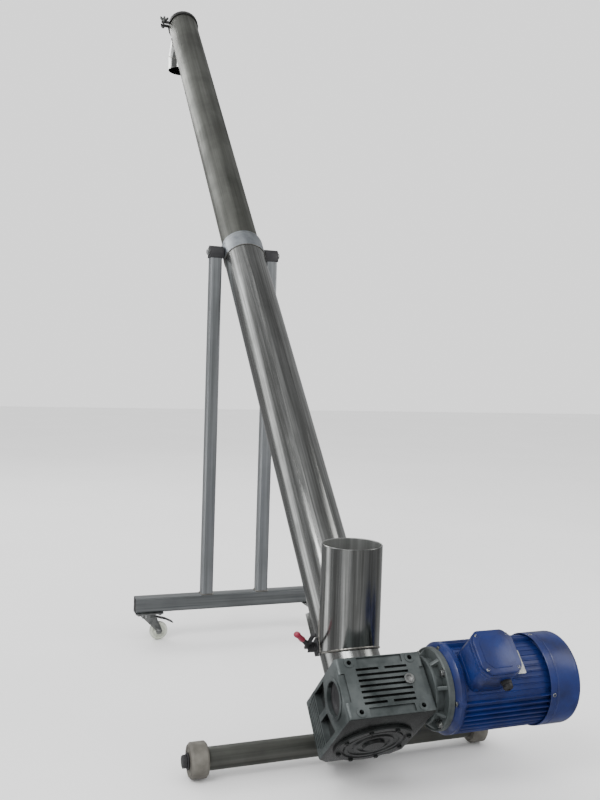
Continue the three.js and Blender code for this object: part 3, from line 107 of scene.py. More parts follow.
# ---------------------------------------------------------------- camera
CAMERA_OFFSET = Vector((-0.676, -1.462, 0.641))  # from the gearbox's centre
YAW, PITCH, ROLL = math.radians(19.85), math.radians(-2.23), math.radians(1.8)
LENS = 39.19


def make_camera():
    forward = Vector((
        math.sin(YAW) * math.cos(PITCH), math.cos(YAW) * math.cos(PITCH), math.sin(PITCH)
    ))
    right = Vector((math.cos(YAW), -math.sin(YAW), 0))
    up = right.cross(forward)
    tilted_right = right * math.cos(ROLL) + up * math.sin(ROLL)
    data = bpy.data.cameras.new("camera")
    data.lens = LENS
    data.clip_start = 0.01
    camera = bpy.data.objects.new("camera", data)
    bpy.context.scene.collection.objects.link(camera)
    camera.matrix_world = axes(GEARBOX + CAMERA_OFFSET, tilted_right, -forward)
    bpy.context.scene.camera = camera


make_camera()


# ---------------------------------------------------------------- materials
MATERIAL = {}


def new_material(name, color, roughness, metallic=0.0, **sockets):
    material = MATERIAL[name] = bpy.data.materials.new(name)
    material.use_nodes = True
    shader = material.node_tree.nodes["Principled BSDF"]
    shader.inputs["Base Color"].default_value = (*color, 1)
    shader.inputs["Roughness"].default_value = roughness
    shader.inputs["Metallic"].default_value = metallic
    for key, value in sockets.items():
        shader.inputs[key.replace("_", " ")].default_value = value
    return material, shader


def wired(tree, node, inputs):
    """Sets a node's inputs to values, or links them to other nodes' outputs."""
    for socket, value in inputs.items():
        if isinstance(value, bpy.types.NodeSocket):
            tree.links.new(value, node.inputs[socket])
        else:
            node.inputs[socket].default_value = value
    return node


def texture(material, scale, detail, stretch=(1, 1, 1)):
    """Value of a noise texture in the object's own axes."""
    tree = material.node_tree
    place = tree.nodes.new("ShaderNodeTexCoord").outputs["Object"]
    mapping = wired(tree, tree.nodes.new("ShaderNodeMapping"), {"Vector": place, "Scale": stretch})
    noise = wired(tree, tree.nodes.new("ShaderNodeTexNoise"), {
        "Vector": mapping.outputs["Vector"], "Scale": scale, "Detail": detail, "Roughness": 0.55,
    })
    return noise.outputs["Fac"]


def ramp(owner, value, *stops):
    """Turns a value into a colour or grey through (position, colour or grey) stops."""
    tree = owner.node_tree
    node = wired(tree, tree.nodes.new("ShaderNodeValToRGB"), {"Fac": value})
    elements = node.color_ramp.elements
    while len(elements) < len(stops):
        elements.new(0.5)
    for element, (position, color) in zip(elements, stops):
        element.position = position
        element.color = (*color, 1) if isinstance(color, tuple) else (color, color, color, 1)
    return node.outputs["Color"]


def mixed(owner, a, b, factor, mode):
    tree = owner.node_tree
    node = tree.nodes.new("ShaderNodeMix")
    node.data_type = "RGBA"
    node.blend_type = mode
    return wired(tree, node, {6: a, 7: b, 0: factor}).outputs[2]


def finished(material, shader, color, polish, height, distance, strength):
    """Gives the shader its colour, its roughness and a relief of this depth."""
    tree = material.node_tree
    relief = wired(tree, tree.nodes.new("ShaderNodeBump"), {
        "Distance": distance, "Strength": strength, "Height": height,
    })
    wired(tree, shader, {"Base Color": color, "Roughness": polish, "Normal": relief.outputs["Normal"]})
    return material


def metal(name, dark, light, rough_low, rough_high, streak, stain, drawn=True):
    """Drawn or ground metal: fine lines along Z, or none, cloudy stains and an uneven polish."""
    material, shader = new_material(name, light, rough_low, 1.0)
    grain = texture(material, streak, 6, (12, 12, 0.25) if drawn else (6, 6, 6))
    cloud = texture(material, 7, 5)
    color = ramp(material, grain, (0.3, dark), (0.7, light))
    soil = ramp(material, cloud, (0.35, stain), (0.6, 1.0))
    polish = ramp(material, cloud, (0.3, rough_high), (0.65, rough_low))
    soiled = mixed(material, color, soil, 1.0, "MULTIPLY")
    return finished(material, shader, soiled, polish, grain, 0.00008, 0.5)


def casting(name, dark, light, roughness, metallic):
    """Sand or die casting: a fine pebbled skin, darker in broad patches."""
    material, shader = new_material(name, light, roughness, metallic)
    skin, cloud = texture(material, 420, 3), texture(material, 18, 6)
    color = ramp(material, cloud, (0.3, dark), (0.68, light))
    polish = ramp(material, skin, (0.3, roughness + 0.12), (0.7, roughness - 0.08))
    return finished(material, shader, color, polish, skin, 0.0004, 0.45)


def enamel(name, dark, light, worn):
    """Enamel over rough castings: orange peel, thin dust and dull patches under a clear gloss."""
    material, shader = new_material(name, light, 0.34, 0.0, Coat_Weight=0.2, Coat_Roughness=0.16)
    peel, cloud = texture(material, 160, 2), texture(material, 14, 6)
    color = ramp(material, cloud, (0.25, dark), (0.5, light), (0.8, worn))
    polish = ramp(material, cloud, (0.3, 0.5), (0.7, 0.28))
    return finished(material, shader, color, polish, peel, 0.0006, 0.35)


def plastic(name, dark, light, roughness, grain=260, depth=0.0002):
    """Moulded plastic: a fine texture and slight soiling."""
    material, shader = new_material(name, light, roughness)
    skin, cloud = texture(material, grain, 2), texture(material, 30, 6)
    color = ramp(material, cloud, (0.3, dark), (0.65, light))
    polish = ramp(material, cloud, (0.3, roughness + 0.1), (0.7, roughness - 0.05))
    return finished(material, shader, color, polish, skin, depth, 0.4)


# One finish for each slot, then the finishes of single pieces.
metal("polished_stainless", (0.22, 0.225, 0.215), (0.50, 0.51, 0.50), 0.14, 0.27, 16, 0.72)
metal("dull_stainless", (0.135, 0.14, 0.125), (0.25, 0.255, 0.235), 0.5, 0.62, 7, 0.7)
metal("brushed_stainless", (0.36, 0.38, 0.39), (0.62, 0.65, 0.67), 0.34, 0.46, 12, 0.8)
metal("machined_steel", (0.42, 0.42, 0.42), (0.6, 0.6, 0.6), 0.2, 0.35, 9, 0.86, drawn=False)
casting("cast_aluminium", (0.028, 0.036, 0.036), (0.115, 0.13, 0.13), 0.38, 0.45)
enamel("blue_enamel", (0.002, 0.005, 0.035), (0.004, 0.014, 0.095), (0.008, 0.028, 0.15))
metal("gear_bronze", (0.42, 0.29, 0.12), (0.62, 0.45, 0.22), 0.25, 0.4, 9, 0.86, drawn=False)
metal("zinc_plate", (0.26, 0.27, 0.27), (0.46, 0.47, 0.46), 0.24, 0.4, 20, 0.86, drawn=False)
casting("dark_steel", (0.02, 0.02, 0.022), (0.06, 0.06, 0.063), 0.42, 0.5)
plastic("black_plastic", (0.010, 0.010, 0.011), (0.024, 0.024, 0.026), 0.45)
plastic("red_plastic", (0.16, 0.010, 0.028), (0.32, 0.025, 0.06), 0.3, 120, 0.0004)
plastic("roller_plastic", (0.07, 0.065, 0.055), (0.15, 0.142, 0.122), 0.6, 90, 0.0006)
plastic("caster_plastic", (0.32, 0.34, 0.28), (0.55, 0.57, 0.50), 0.5)
BEAM_STEEL = metal("beam_stainless", (0.22, 0.235, 0.24), (0.42, 0.44, 0.45), 0.28, 0.42, 12, 0.8)
CLAMP_STEEL = metal("clamp_steel", (0.07, 0.07, 0.07), (0.18, 0.18, 0.175), 0.35, 0.5, 14, 0.86, drawn=False)
BAND_STEEL = metal("band_steel", (0.34, 0.37, 0.40), (0.56, 0.60, 0.63), 0.34, 0.48, 8, 0.86, drawn=False)
# Near-black casting that paints shade: the gearbox's grooves, sunk panels and low end, and its cover, are darkened
# with it where shade falls.
PAINTED_SHADE_CASTING = casting("painted_shade_casting", (0.003, 0.0035, 0.0035), (0.016, 0.019, 0.018), 0.32, 0.2)
INSIDE = metal("inside_of_hopper", (0.30, 0.31, 0.30), (0.5, 0.51, 0.5), 0.5, 0.62, 9, 0.86)
WELD = metal("weld_bead", (0.20, 0.19, 0.17), (0.48, 0.47, 0.44), 0.3, 0.45, 40, 0.86, drawn=False)


# ---------------------------------------------------------------- mesh helpers, in metres
def around(radius, count):
    """(x, y) points of a circle."""
    turn = [2 * math.pi * k / count for k in range(count)]
    return [(radius * math.cos(a), radius * math.sin(a)) for a in turn]


def lathe(profile, sides=SIDES):
    """Closed surface of revolution about Z. Its outline runs through (radius, height) points, from the axis
    to the axis, or round a ring and back to its first point."""
    bm = bmesh.new()
    rings = []
    ringed = profile[0][0] > 1e-9
    for r, h in profile:
        if r < 1e-9:
            rings.append([bm.verts.new((0, 0, h))])
        else:
            rings.append([bm.verts.new((x, y, h)) for x, y in around(r, sides)])
    pairs = list(zip(rings, rings[1:])) + ([(rings[-1], rings[0])] if ringed else [])
    for low, high in pairs:
        for k in range(sides):
            n = (k + 1) % sides
            corners = []
            for v in (low[k % len(low)], low[n % len(low)], high[n % len(high)], high[k % len(high)]):
                if v not in corners:
                    corners.append(v)
            if len(corners) > 2:
                bm.faces.new(corners)
    bmesh.ops.recalc_face_normals(bm, faces=bm.faces)
    return bm


def rod(radius, z0, z1, sides=SIDES):
    """Plain cylinder."""
    return lathe([(0, z0), (radius, z0), (radius, z1), (0, z1)], sides)


def circle(radius, z, steps=150):
    """Points round the Z axis."""
    return [Vector((x, y, z)) for x, y in around(radius, steps)]


def mirrored(half, total):
    """Whole outline from its lower half, which it repeats upside down; total is its two ends' heights."""
    return half + [(r, total - h) for r, h in reversed(half)]


def pipe(inner, outer, z0, z1, edge=0.0006, sides=SIDES):
    """Ring of tube with eased edges."""
    low = [(inner, z0 + edge), (inner + edge, z0), (outer - edge, z0), (outer, z0 + edge)]
    return lathe(mirrored(low, z0 + z1), sides)


def skinned(rings, ringed=False):
    """Surface through rings of points, closed by a cap at each end, or by meeting itself when ringed."""
    bm = bmesh.new()
    loops = [[bm.verts.new(point) for point in ring] for ring in rings]
    if not ringed:
        bm.faces.new(loops[0])
        bm.faces.new(loops[-1])
    for a, b in zip(loops, loops[1:] + loops[:1] if ringed else loops[1:]):
        for k in range(len(a)):
            n = (k + 1) % len(a)
            bm.faces.new((a[k], a[n], b[n], b[k]))
    bmesh.ops.recalc_face_normals(bm, faces=bm.faces)
    return bm


def prism(outline, z0, z1):
    """Straight prism over an outline of (x, y) points."""
    return skinned([[(x, y, z) for x, y in outline] for z in (z0, z1)])


def block(x0, x1, y0, y1, z0, z1):
    return prism([(x0, y0), (x1, y0), (x1, y1), (x0, y1)], z0, z1)


def rounded(width, depth, radius, steps=6):
    """Outline of a rectangle with round corners."""
    points = []
    for k, (sx, sy) in enumerate(((1, 1), (-1, 1), (-1, -1), (1, -1))):
        for i in range(steps + 1):
            a = math.pi / 2 * (k + i / steps)
            points.append((
                sx * (width / 2 - radius) + radius * math.cos(a),
                sy * (depth / 2 - radius) + radius * math.sin(a),
            ))
    return points


def square_tube(section, z0, z1):
    """Rolled square tube with round corners, open at both ends."""
    wall, corner = 0.002, 0.0045
    outer = rounded(section, section, corner)
    inner = rounded(section - 2 * wall, section - 2 * wall, corner - wall)
    ends = ((outer, z0), (outer, z1), (inner, z1), (inner, z0))
    return skinned([[(x, y, z) for x, y in outline] for outline, z in ends], ringed=True)


def moved(bm, matrix):
    bmesh.ops.transform(bm, matrix=matrix, verts=bm.verts)
    if matrix.determinant() < 0:
        bmesh.ops.reverse_faces(bm, faces=bm.faces)
    return bm


def level(bm, place):
    """The same piece drawn in a frame that is only shifted, so that its box is its true size."""
    return moved(bm, place.to_3x3().to_4x4()), Matrix.Translation(place.translation)


def shifted(bm, x=0.0, y=0.0, z=0.0):
    return moved(bm, Matrix.Translation((x, y, z)))


def turned(bm, angle, axis):
    return moved(bm, Matrix.Rotation(angle, 4, axis))


def together(*parts):
    """One mesh of several, which may stand in each other."""
    total = bmesh.new()
    for part in parts:
        mesh = bpy.data.meshes.new("part")
        part.to_mesh(mesh)
        total.from_mesh(mesh)
        bpy.data.meshes.remove(mesh)
        part.free()
    return total


def sharp_edges(bm):
    return [e for e in bm.edges if len(e.link_faces) == 2 and e.calc_face_angle(0) > SHARP]


def eased(bm, width, segments=2):
    """Rounds every sharp edge a little."""
    bmesh.ops.bevel(
        bm, geom=sharp_edges(bm), offset=width, segments=segments, affect="EDGES", clamp_overlap=True,
        profile=0.5,
    )
    return bm


def link(name, bm, place):
    mesh = bpy.data.meshes.new(name)
    for face in bm.faces:
        face.smooth = True
    for edge in sharp_edges(bm):
        edge.smooth = False
    bm.to_mesh(mesh)
    bm.free()
    obj = bpy.data.objects.new(name, mesh)
    bpy.context.scene.collection.objects.link(obj)
    obj.matrix_world = place
    return obj


def combine(operation, base, *tools):
    """Exact boolean of closed meshes: DIFFERENCE or INTERSECT."""
    obj = link("base", base, Matrix.Identity(4))
    others = [link("tool", tool, Matrix.Identity(4)) for tool in tools]
    for other in others:
        modifier = obj.modifiers.new("combine", "BOOLEAN")
        modifier.operation = operation
        modifier.solver = "EXACT"
        modifier.object = other
    evaluated = obj.evaluated_get(bpy.context.evaluated_depsgraph_get())
    result = bmesh.new()
    result.from_mesh(evaluated.to_mesh())
    evaluated.to_mesh_clear()
    for temporary in [obj, *others]:
        mesh = temporary.data
        bpy.data.objects.remove(temporary)
        bpy.data.meshes.remove(mesh)
    return result


def cut(base, *tools):
    return combine("DIFFERENCE", base, *tools)


# ---------------------------------------------------------------- pieces
def part(node, bm, place, material=None):
    """A detailed piece that stands for a CAD node of the same name."""
    obj = link(f"{node}_detail", bm, place)
    obj.data.materials.append(material or MATERIAL[SLOT[node]])
    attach(obj, BODY[node])
    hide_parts(node)
    return obj


def repaint(obj, material, chosen):
    """Gives a second finish to the faces that chosen(centre, normal) picks, in the piece's own frame."""
    obj.data.materials.append(material)
    for polygon in obj.data.polygons:
        if chosen(polygon.center, polygon.normal):
            polygon.material_index = 1


def trim(name, bm, place, body, slot, material=None):
    """A small piece that the CAD leaves out."""
    obj = link(name, bm, place)
    obj.data.materials.append(material or MATERIAL[slot])
    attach(obj, body)
    return obj


def refined(node, width, material=None):
    """The CAD node's own shape with its edges rounded."""
    bm = bmesh.new()
    bm.from_mesh(frame["nodes"][node].data)
    bmesh.ops.remove_doubles(bm, verts=bm.verts, dist=1e-5)
    bmesh.ops.dissolve_limit(bm, angle_limit=math.radians(1), verts=bm.verts, edges=bm.edges)
    return part(node, eased(bm, width), Matrix.Identity(4), material)


def hex_bolt(radius, height, washer=0.0):
    """Hexagon head on a washer, standing on Z = 0."""
    head = eased(prism(around(radius, 6), 0, height), radius * 0.09, 1)
    low, top = height * 0.6, height * 1.04
    crown = lathe([(0, low), (radius * 0.84, low), (radius * 0.8, top), (0, top)], 24)
    parts = [head, crown]
    if washer:
        parts.append(rod(radius + washer, -0.0002, 0.0014, 24))
    return together(*parts)


def socket_screw(radius, height):
    """Cap screw with a hexagon socket, standing on Z = 0."""
    return lathe([
        (0, -0.0005), (radius, -0.0005), (radius, height - 0.0006), (radius - 0.0006, height),
        (radius * 0.55, height), (radius * 0.5, height * 0.4), (0, height * 0.4),
    ], 24)


def ring_of(make, count, radius, z, start=0.0):
    """Copies of a small part round the Z axis."""
    step = 2 * math.pi / count
    return together(*[turned(shifted(make(), radius, 0, z), start + k * step, "Z") for k in range(count)])


def four_of(make, x, y, z=0.0):
    """Copies of a small part at the corners of a rectangle round the Z axis."""
    return together(*[shifted(make(), sx * x, sy * y, z) for sx in (-1, 1) for sy in (-1, 1)])


def facing(bm, direction):
    """Turns a part drawn standing on Z to stand along another direction."""
    return moved(bm, UP.rotation_difference(Vector(direction)).to_matrix().to_4x4())


def bead(points, radius):
    """Weld bead: a rippled round cord laid along a closed line."""
    rings = []
    for k, p in enumerate(points):
        along = (points[(k + 1) % len(points)] - points[k - 1]).normalized()
        side = along.cross(Vector((0.31, 0.87, 0.38))).normalized()
        other = along.cross(side)
        r = radius * (1 + 0.16 * math.sin(k * 2.1))
        rings.append([p + side * x + other * y for x, y in around(r, 8)])
    return skinned(rings, ringed=True)


# ---------------------------------------------------------------- gearbox
box_low, box_high = span("gearbox_housing", LINE)
HALF_X = box_high.x
WORM_FACE = box_low.y
FOOT_FACE = box_high.y
HALF_Z = -box_low.z
BORE_R = span("worm_end_cap", LINE)[1].z + CLEAR
RIB_DEPTH = 0.006
HOLE_R, HOLE_X, HOLE_Z = 0.00425, 0.060, 0.045  # the four mounting holes
# Rooms inside, from what turns or sits in them.
ROOM_R = span("worm_wheel", LINE)[1].x + 0.002
upper_bearing_low, upper_bearing_high = span("wheel_bearing_upper", LINE)
SEAT_R = upper_bearing_high.x + 0.0006
HUB_ROOM_R = 0.0275


def gearbox_housing():
    chamfer, small = 0.020, 0.005
    x, worm, foot = HALF_X, WORM_FACE, FOOT_FACE
    outline = [
        (-x + small, worm), (x - small, worm), (x, worm + small), (x, foot - chamfer),
        (x - chamfer, foot), (-x + chamfer, foot), (-x, foot - chamfer), (-x, worm + small),
    ]
    body = eased(prism(outline, -HALF_Z, HALF_Z), 0.004, 3)
    grooves = []
    # Grooves between the ribs of the face that looks up, all inside one long panel.
    rows = 7
    panel_half_x, panel_half_z = x - 0.036, HALF_Z - 0.020
    pitch = 2 * panel_half_z / rows
    for k in range(rows):
        z = -panel_half_z + (k + 0.5) * pitch
        stretches = [(-panel_half_x, -0.006), (0.006, panel_half_x)]
        for start, end in stretches if k in (0, rows - 1) else [(-panel_half_x, panel_half_x)]:
            low, high = z - pitch * 0.22, z + pitch * 0.22
            grooves.append(block(start, end, worm - 0.001, worm + RIB_DEPTH, low, high))
    # Sunk strips along both long edges leave a square pad round each mounting hole.
    for side in (-1, 1):
        strip = sorted((side * (HALF_Z - 0.017), side * (HALF_Z - 0.003)))
        grooves.append(block(-x + 0.042, x - 0.042, worm - 0.001, worm + 0.0035, *strip))
        edge = side * x
        grooves.append(block(edge - 0.0125, edge + 0.0125, worm - 0.001, worm + 0.0025, -0.026, 0.026))
    # Both side faces are sunk inside a thick border, with a grating of short ribs towards the foot.
    cells = [
        [(WORM_Y + 0.030, wide), (WORM_Y + 0.048, narrow), (0.012, narrow), (0.012, wide)]
        for wide, narrow in ((0.047, 0.006), (-0.047, -0.006))
    ]
    bars = 6
    for k in range(bars):
        y = 0.016 + 0.0085 * k
        reach = 0.047 - max(y - 0.030, 0) * 0.35
        cells.append([(y, -reach), (y, reach), (y + 0.0052, reach), (y + 0.0052, -reach)])
    for side in (-1, 1):
        for cell in cells:
            pocket = prism([(z, y) for y, z in cell], 0, 0.012)
            grooves.append(shifted(moved(pocket, SWAP_XZ), x=side * (x - 0.006) - 0.006))
    body = cut(body, together(*grooves))
    bore = turned(rod(BORE_R, -x - PAST, x + PAST), math.pi / 2, "Y")
    body = cut(body, shifted(bore, y=WORM_Y))
    start, end = -HALF_Z - PAST, box_high.z + PAST
    step, seat = upper_bearing_low.z, upper_bearing_high.z + CLEAR
    room = lathe([
        (0, start), (ROOM_R, start), (ROOM_R, step), (SEAT_R, step), (SEAT_R, seat), (HUB_ROOM_R, seat),
        (HUB_ROOM_R, end), (0, end),
    ])
    body = cut(body, room)
    holes = four_of(lambda: rod(HOLE_R, 0, 0.016, 24), HOLE_X, HOLE_Z)
    body = cut(body, shifted(facing(holes, (0, 1, 0)), y=worm - 0.002))
    bosses = four_of(lambda: pipe(HOLE_R, 0.0095, 0, 0.0016, 0.0004, SMALL_SIDES), HOLE_X, HOLE_Z)
    extras = [shifted(facing(bosses, (0, -1, 0)), y=worm + 0.0002)]
    for side in (-1, 1):
        rim = pipe(BORE_R, BORE_R + 0.0065, 0, 0.0022, 0.0008)
        extras.append(shifted(turned(rim, side * math.pi / 2, "Y"), side * (x - CLEAR), WORM_Y, 0))
    extras.append(pipe(0.030, 0.062, HALF_Z - 0.001, box_high.z, 0.001))
    lug = [(0, HALF_Z), (0.008, HALF_Z), (0.007, HALF_Z + 0.003), (0, HALF_Z + 0.003)]
    extras.append(shifted(ring_of(lambda: lathe(lug, 24), 4, 0.092, 0, math.pi / 4), y=-0.01))
    obj = part("gearbox_housing", together(body, *extras), LINE)

    # Painted shade: the sunk side panels, the groove floors of the face that looks up, the low end face and the
    # faces past it take the near-black casting.
    def in_painted_shade(centre, normal):
        sunk = abs(normal.x) > 0.9 and abs(centre.x) < x - 0.003
        groove = abs(normal.y) > 0.9 and centre.y < worm + 0.02 and centre.y > worm + 0.004
        return sunk or groove or normal.z < -0.9 or centre.z < -HALF_Z - 0.0005

    repaint(obj, PAINTED_SHADE_CASTING, in_painted_shade)


gearbox_housing()


def gearbox_cover():
    low, high = span("gearbox_cover", LINE)
    r = high.x
    face = -HALF_Z - CLEAR
    floor_z = span("wheel_bearing_lower", LINE)[0].z - CLEAR
    out = low.z
    spigot, below_worm = ROOM_R - 0.0008, -span("worm", LINE)[1].z - 0.003
    profile = [
        (0, out), (0.019, out), (0.0205, out + 0.0010), (0.0215, out + 0.0050), (0.030, out + 0.0056),
        (0.0315, out + 0.0036), (0.038, out + 0.0036), (0.0395, out + 0.0058), (0.048, out + 0.0058),
        (0.0495, out + 0.0040), (0.0555, out + 0.0040), (0.057, out + 0.0062), (0.0595, out + 0.0062),
        (0.061, out + 0.0036), (r - 0.002, out + 0.0036), (r, out + 0.0056), (r, face),
        (spigot, face), (spigot, below_worm), (SEAT_R + 0.004, high.z), (SEAT_R, high.z), (SEAT_R, floor_z),
        (HUB_ROOM_R, floor_z), (HUB_ROOM_R, out + 0.0085), (0, out + 0.0085),
    ]
    bolts = turned(ring_of(lambda: socket_screw(0.0046, 0.0034), 8, 0.0665, 0, math.pi / 8), math.pi, "X")
    cover = together(lathe(profile), shifted(bolts, z=out + 0.0037))
    # The cover takes the near-black casting: painted shade on the low end of the gearbox.
    part("gearbox_cover", cover, LINE, PAINTED_SHADE_CASTING)


gearbox_cover()


def oil_plugs():
    """Sight glass on the ribbed face, and a hexagon drain plug on the foot side."""
    sight = together(
        pipe(0.0062, 0.0098, 0, 0.0045, 0.0006, SMALL_SIDES),
        lathe([(0, 0), (0.0064, 0), (0.0064, 0.0026), (0, 0.0032)], SMALL_SIDES),
    )
    place = LINE @ Matrix.Translation((0.047, WORM_FACE + 0.001, 0.005))
    trim("oil_sight", facing(sight, (0, -1, 0)), place, "frame", "zinc_plate")
    drain = facing(hex_bolt(0.0085, 0.005, 0.002), (1, 0, 0))
    trim("drain_plug", drain, LINE @ Matrix.Translation((HALF_X - 0.0002, 0.046, 0)), "frame", "zinc_plate")


oil_plugs()


def worm_cap():
    low, high = span("worm_end_cap", LINE)
    r = high.z
    near, far = low.x, high.x
    profile = [
        (0, near + 0.0034), (r - 0.012, near + 0.0034), (r - 0.010, near + 0.0022),
        (r - 0.007, near + 0.0004), (r - 0.0004, near), (r, near + 0.0004), (r, far), (0, far),
    ]
    part("worm_end_cap", shifted(turned(lathe(profile), math.pi / 2, "Y"), y=WORM_Y), LINE)


worm_cap()


# ---------------------------------------------------------------- motor
def adapter():
    low, high = span("motor_adapter_flange", MOTOR)
    disc_r, z0, z1 = high.x, low.z, high.z
    disc_z = z1 - 0.012
    profile = [
        (0.030, z0), (0.0585, z0), (0.060, z0 + 0.0015), (0.060, z0 + 0.005), (0.056, z0 + 0.007),
        (0.056, disc_z), (disc_r - 0.002, disc_z), (disc_r, disc_z + 0.002), (disc_r, z1 - 0.0006),
        (disc_r - 0.0006, z1), (0.030, z1),
    ]
    start, end = z0 + 0.001, disc_z + 0.001
    outline = [(start, 0.050), (start, 0.058), (end, disc_r - 0.004), (end, 0.050)]
    upright = Matrix(((0, 1, 0, 0), (0, 0, 1, 0), (1, 0, 0, 0), (0, 0, 0, 1)))
    rib = lambda: eased(moved(prism(outline, -0.0035, 0.0035), upright), 0.0008)
    bolts = facing(ring_of(lambda: hex_bolt(0.0062, 0.0052, 0.002), 4, 0.0665, 0), (0, 0, -1))
    body = together(lathe(profile), ring_of(rib, 8, 0, 0, math.pi / 8))
    part("motor_adapter_flange", body, MOTOR)
    trim("adapter_bolts", shifted(bolts, z=disc_z), MOTOR, "frame", "zinc_plate")


adapter()


def front_shield():
    low, high = span("motor_front_shield", MOTOR)
    r, z0, z1 = high.x, low.z, high.z
    profile = [
        (0.022, z0), (r - 0.011, z0), (r - 0.009, z0 + 0.0008), (r - 0.002, z0 + 0.0065), (r, z0 + 0.009),
        (r, z1 - 0.004), (r - 0.0012, z1 - 0.003), (r - 0.0012, z1 - 0.0015), (r, z1 - 0.0008),
        (r - 0.001, z1), (0.062, z1), (0.062, z1 - 0.006), (0.022, z1 - 0.006),
    ]
    lug = [(0, z0 + 0.004), (0.008, z0 + 0.004), (0.009, z0 + 0.006), (0.009, z1), (0, z1)]
    lugs = ring_of(lambda: lathe(lug, 28), 4, r - 0.0085, 0, math.pi / 4)
    bolts = facing(ring_of(lambda: hex_bolt(0.005, 0.0036), 4, r - 0.0085, 0, math.pi / 4), (0, 0, -1))
    part("motor_front_shield", together(lathe(profile), lugs), MOTOR)
    trim("shield_bolts", shifted(bolts, z=z0 + 0.004), MOTOR, "frame", "zinc_plate")


front_shield()

FRAME_LOW, FRAME_HIGH = span("motor_frame", MOTOR)
CORE_R = 0.075
FIN_TIP = FRAME_HIGH.x


def motor_frame():
    z0, z1 = FRAME_LOW.z, FRAME_HIGH.z
    count = 44
    outline = []
    for k in range(count):
        middle = 2 * math.pi * (k + 0.5) / count
        under_box = abs(math.cos(middle)) * CORE_R < 0.046 and math.sin(middle) < 0
        tip = CORE_R + 0.0008 if under_box else FIN_TIP
        flank = [(CORE_R, 0.0018), (tip - 0.0012, 0.0011), (tip, 0.0006)]
        outline += [(r, middle - half / r) for r, half in flank]
        outline += [(r, middle + half / r) for r, half in reversed(flank)]
        outline.append((CORE_R - 0.0006, 2 * math.pi * (k + 1) / count))
    body = prism([(r * math.cos(a), r * math.sin(a)) for r, a in outline], z0, z1)
    bore_r = span("stator_core", MOTOR)[1].x + CLEAR
    body = cut(body, rod(bore_r, z0 - PAST, z1 + PAST))
    bands = [pipe(0.070, CORE_R + 0.0022, z, z + 0.006, 0.001) for z in (z0, z1 - 0.006)]
    part("motor_frame", together(body, *bands), MOTOR)


motor_frame()


def fan_cowl():
    low, high = span("motor_fan_cowl", MOTOR)
    r, z0, z1 = high.x, low.z, high.z
    w = 0.0018
    shell = [
        (r - w, z0), (r - 0.0006, z0), (r, z0 + 0.0008), (r, z0 + 0.012), (r - 0.0010, z0 + 0.0135),
        (r - 0.0010, z0 + 0.0155), (r, z0 + 0.017),
    ]
    corner, steps = 0.015, 8
    for k in range(steps + 1):
        a = math.pi / 2 * k / steps
        shell.append((r - corner + corner * math.cos(a), z1 - corner + corner * math.sin(a)))
    shell += [
        (0.060, z1 - 0.0004), (0.018, z1 - 0.0004), (0.016, z1 - 0.0016), (0, z1 - 0.0016), (0, z1 - 0.0036),
        (r - corner, z1 - 0.0030), (r - 0.005, z1 - 0.006), (r - w, z1 - corner),
    ]
    # the outline meets the axis in its middle, and lathe wants it to start and end there
    centre = next(k for k, (r, _) in enumerate(shell) if r == 0)
    body = lathe(shell[centre + 1:] + shell[:centre + 1])
    slots = []
    for count, radius, size in ((24, 0.058, 0.010), (18, 0.044, 0.008), (12, 0.030, 0.007)):
        slot = rounded(size, 0.0048, 0.0023, 4)
        slots.append(ring_of(lambda: prism(slot, z1 - 0.008, z1 + 0.001), count, radius, 0))
    part("motor_fan_cowl", cut(body, together(*slots)), MOTOR)
    screw = lambda: facing(socket_screw(0.0038, 0.0016), (1, 0, 0))
    screws = ring_of(screw, 4, r - 0.0008, z0 + 0.007, math.pi / 4)
    trim("cowl_screws", screws, MOTOR, "frame", "zinc_plate")


fan_cowl()


# Pieces on the motor that are drawn with length along X, width along Y and height along Z.
lid_low, lid_high = span("terminal_box_lid", MOTOR)
BOX_MIDDLE = (lid_low.z + lid_high.z) / 2
ON_MOTOR = MOTOR @ Matrix(((0, -1, 0, 0), (0, 0, -1, 0), (1, 0, 0, BOX_MIDDLE), (0, 0, 0, 1)))


def cornered(length, width, corner):
    """Outline with cut corners whose ends are rounded."""
    round_steps = 3
    x, y = length / 2, width / 2
    points = [
        (x - corner, -y), (x, -y + corner), (x, y - corner), (x - corner, y),
        (-x + corner, y), (-x, y - corner), (-x, -y + corner), (-x + corner, -y),
    ]
    soft = []
    for k, p in enumerate(points):
        p = Vector(p)
        a, b = Vector(points[k - 1]), Vector(points[(k + 1) % len(points)])
        reach = corner * 0.3
        start, end = p + (a - p).normalized() * reach, p + (b - p).normalized() * reach
        for i in range(round_steps + 1):
            t = i / round_steps
            soft.append(tuple(start * (1 - t) ** 2 + p * 2 * t * (1 - t) + end * t * t))
    return soft


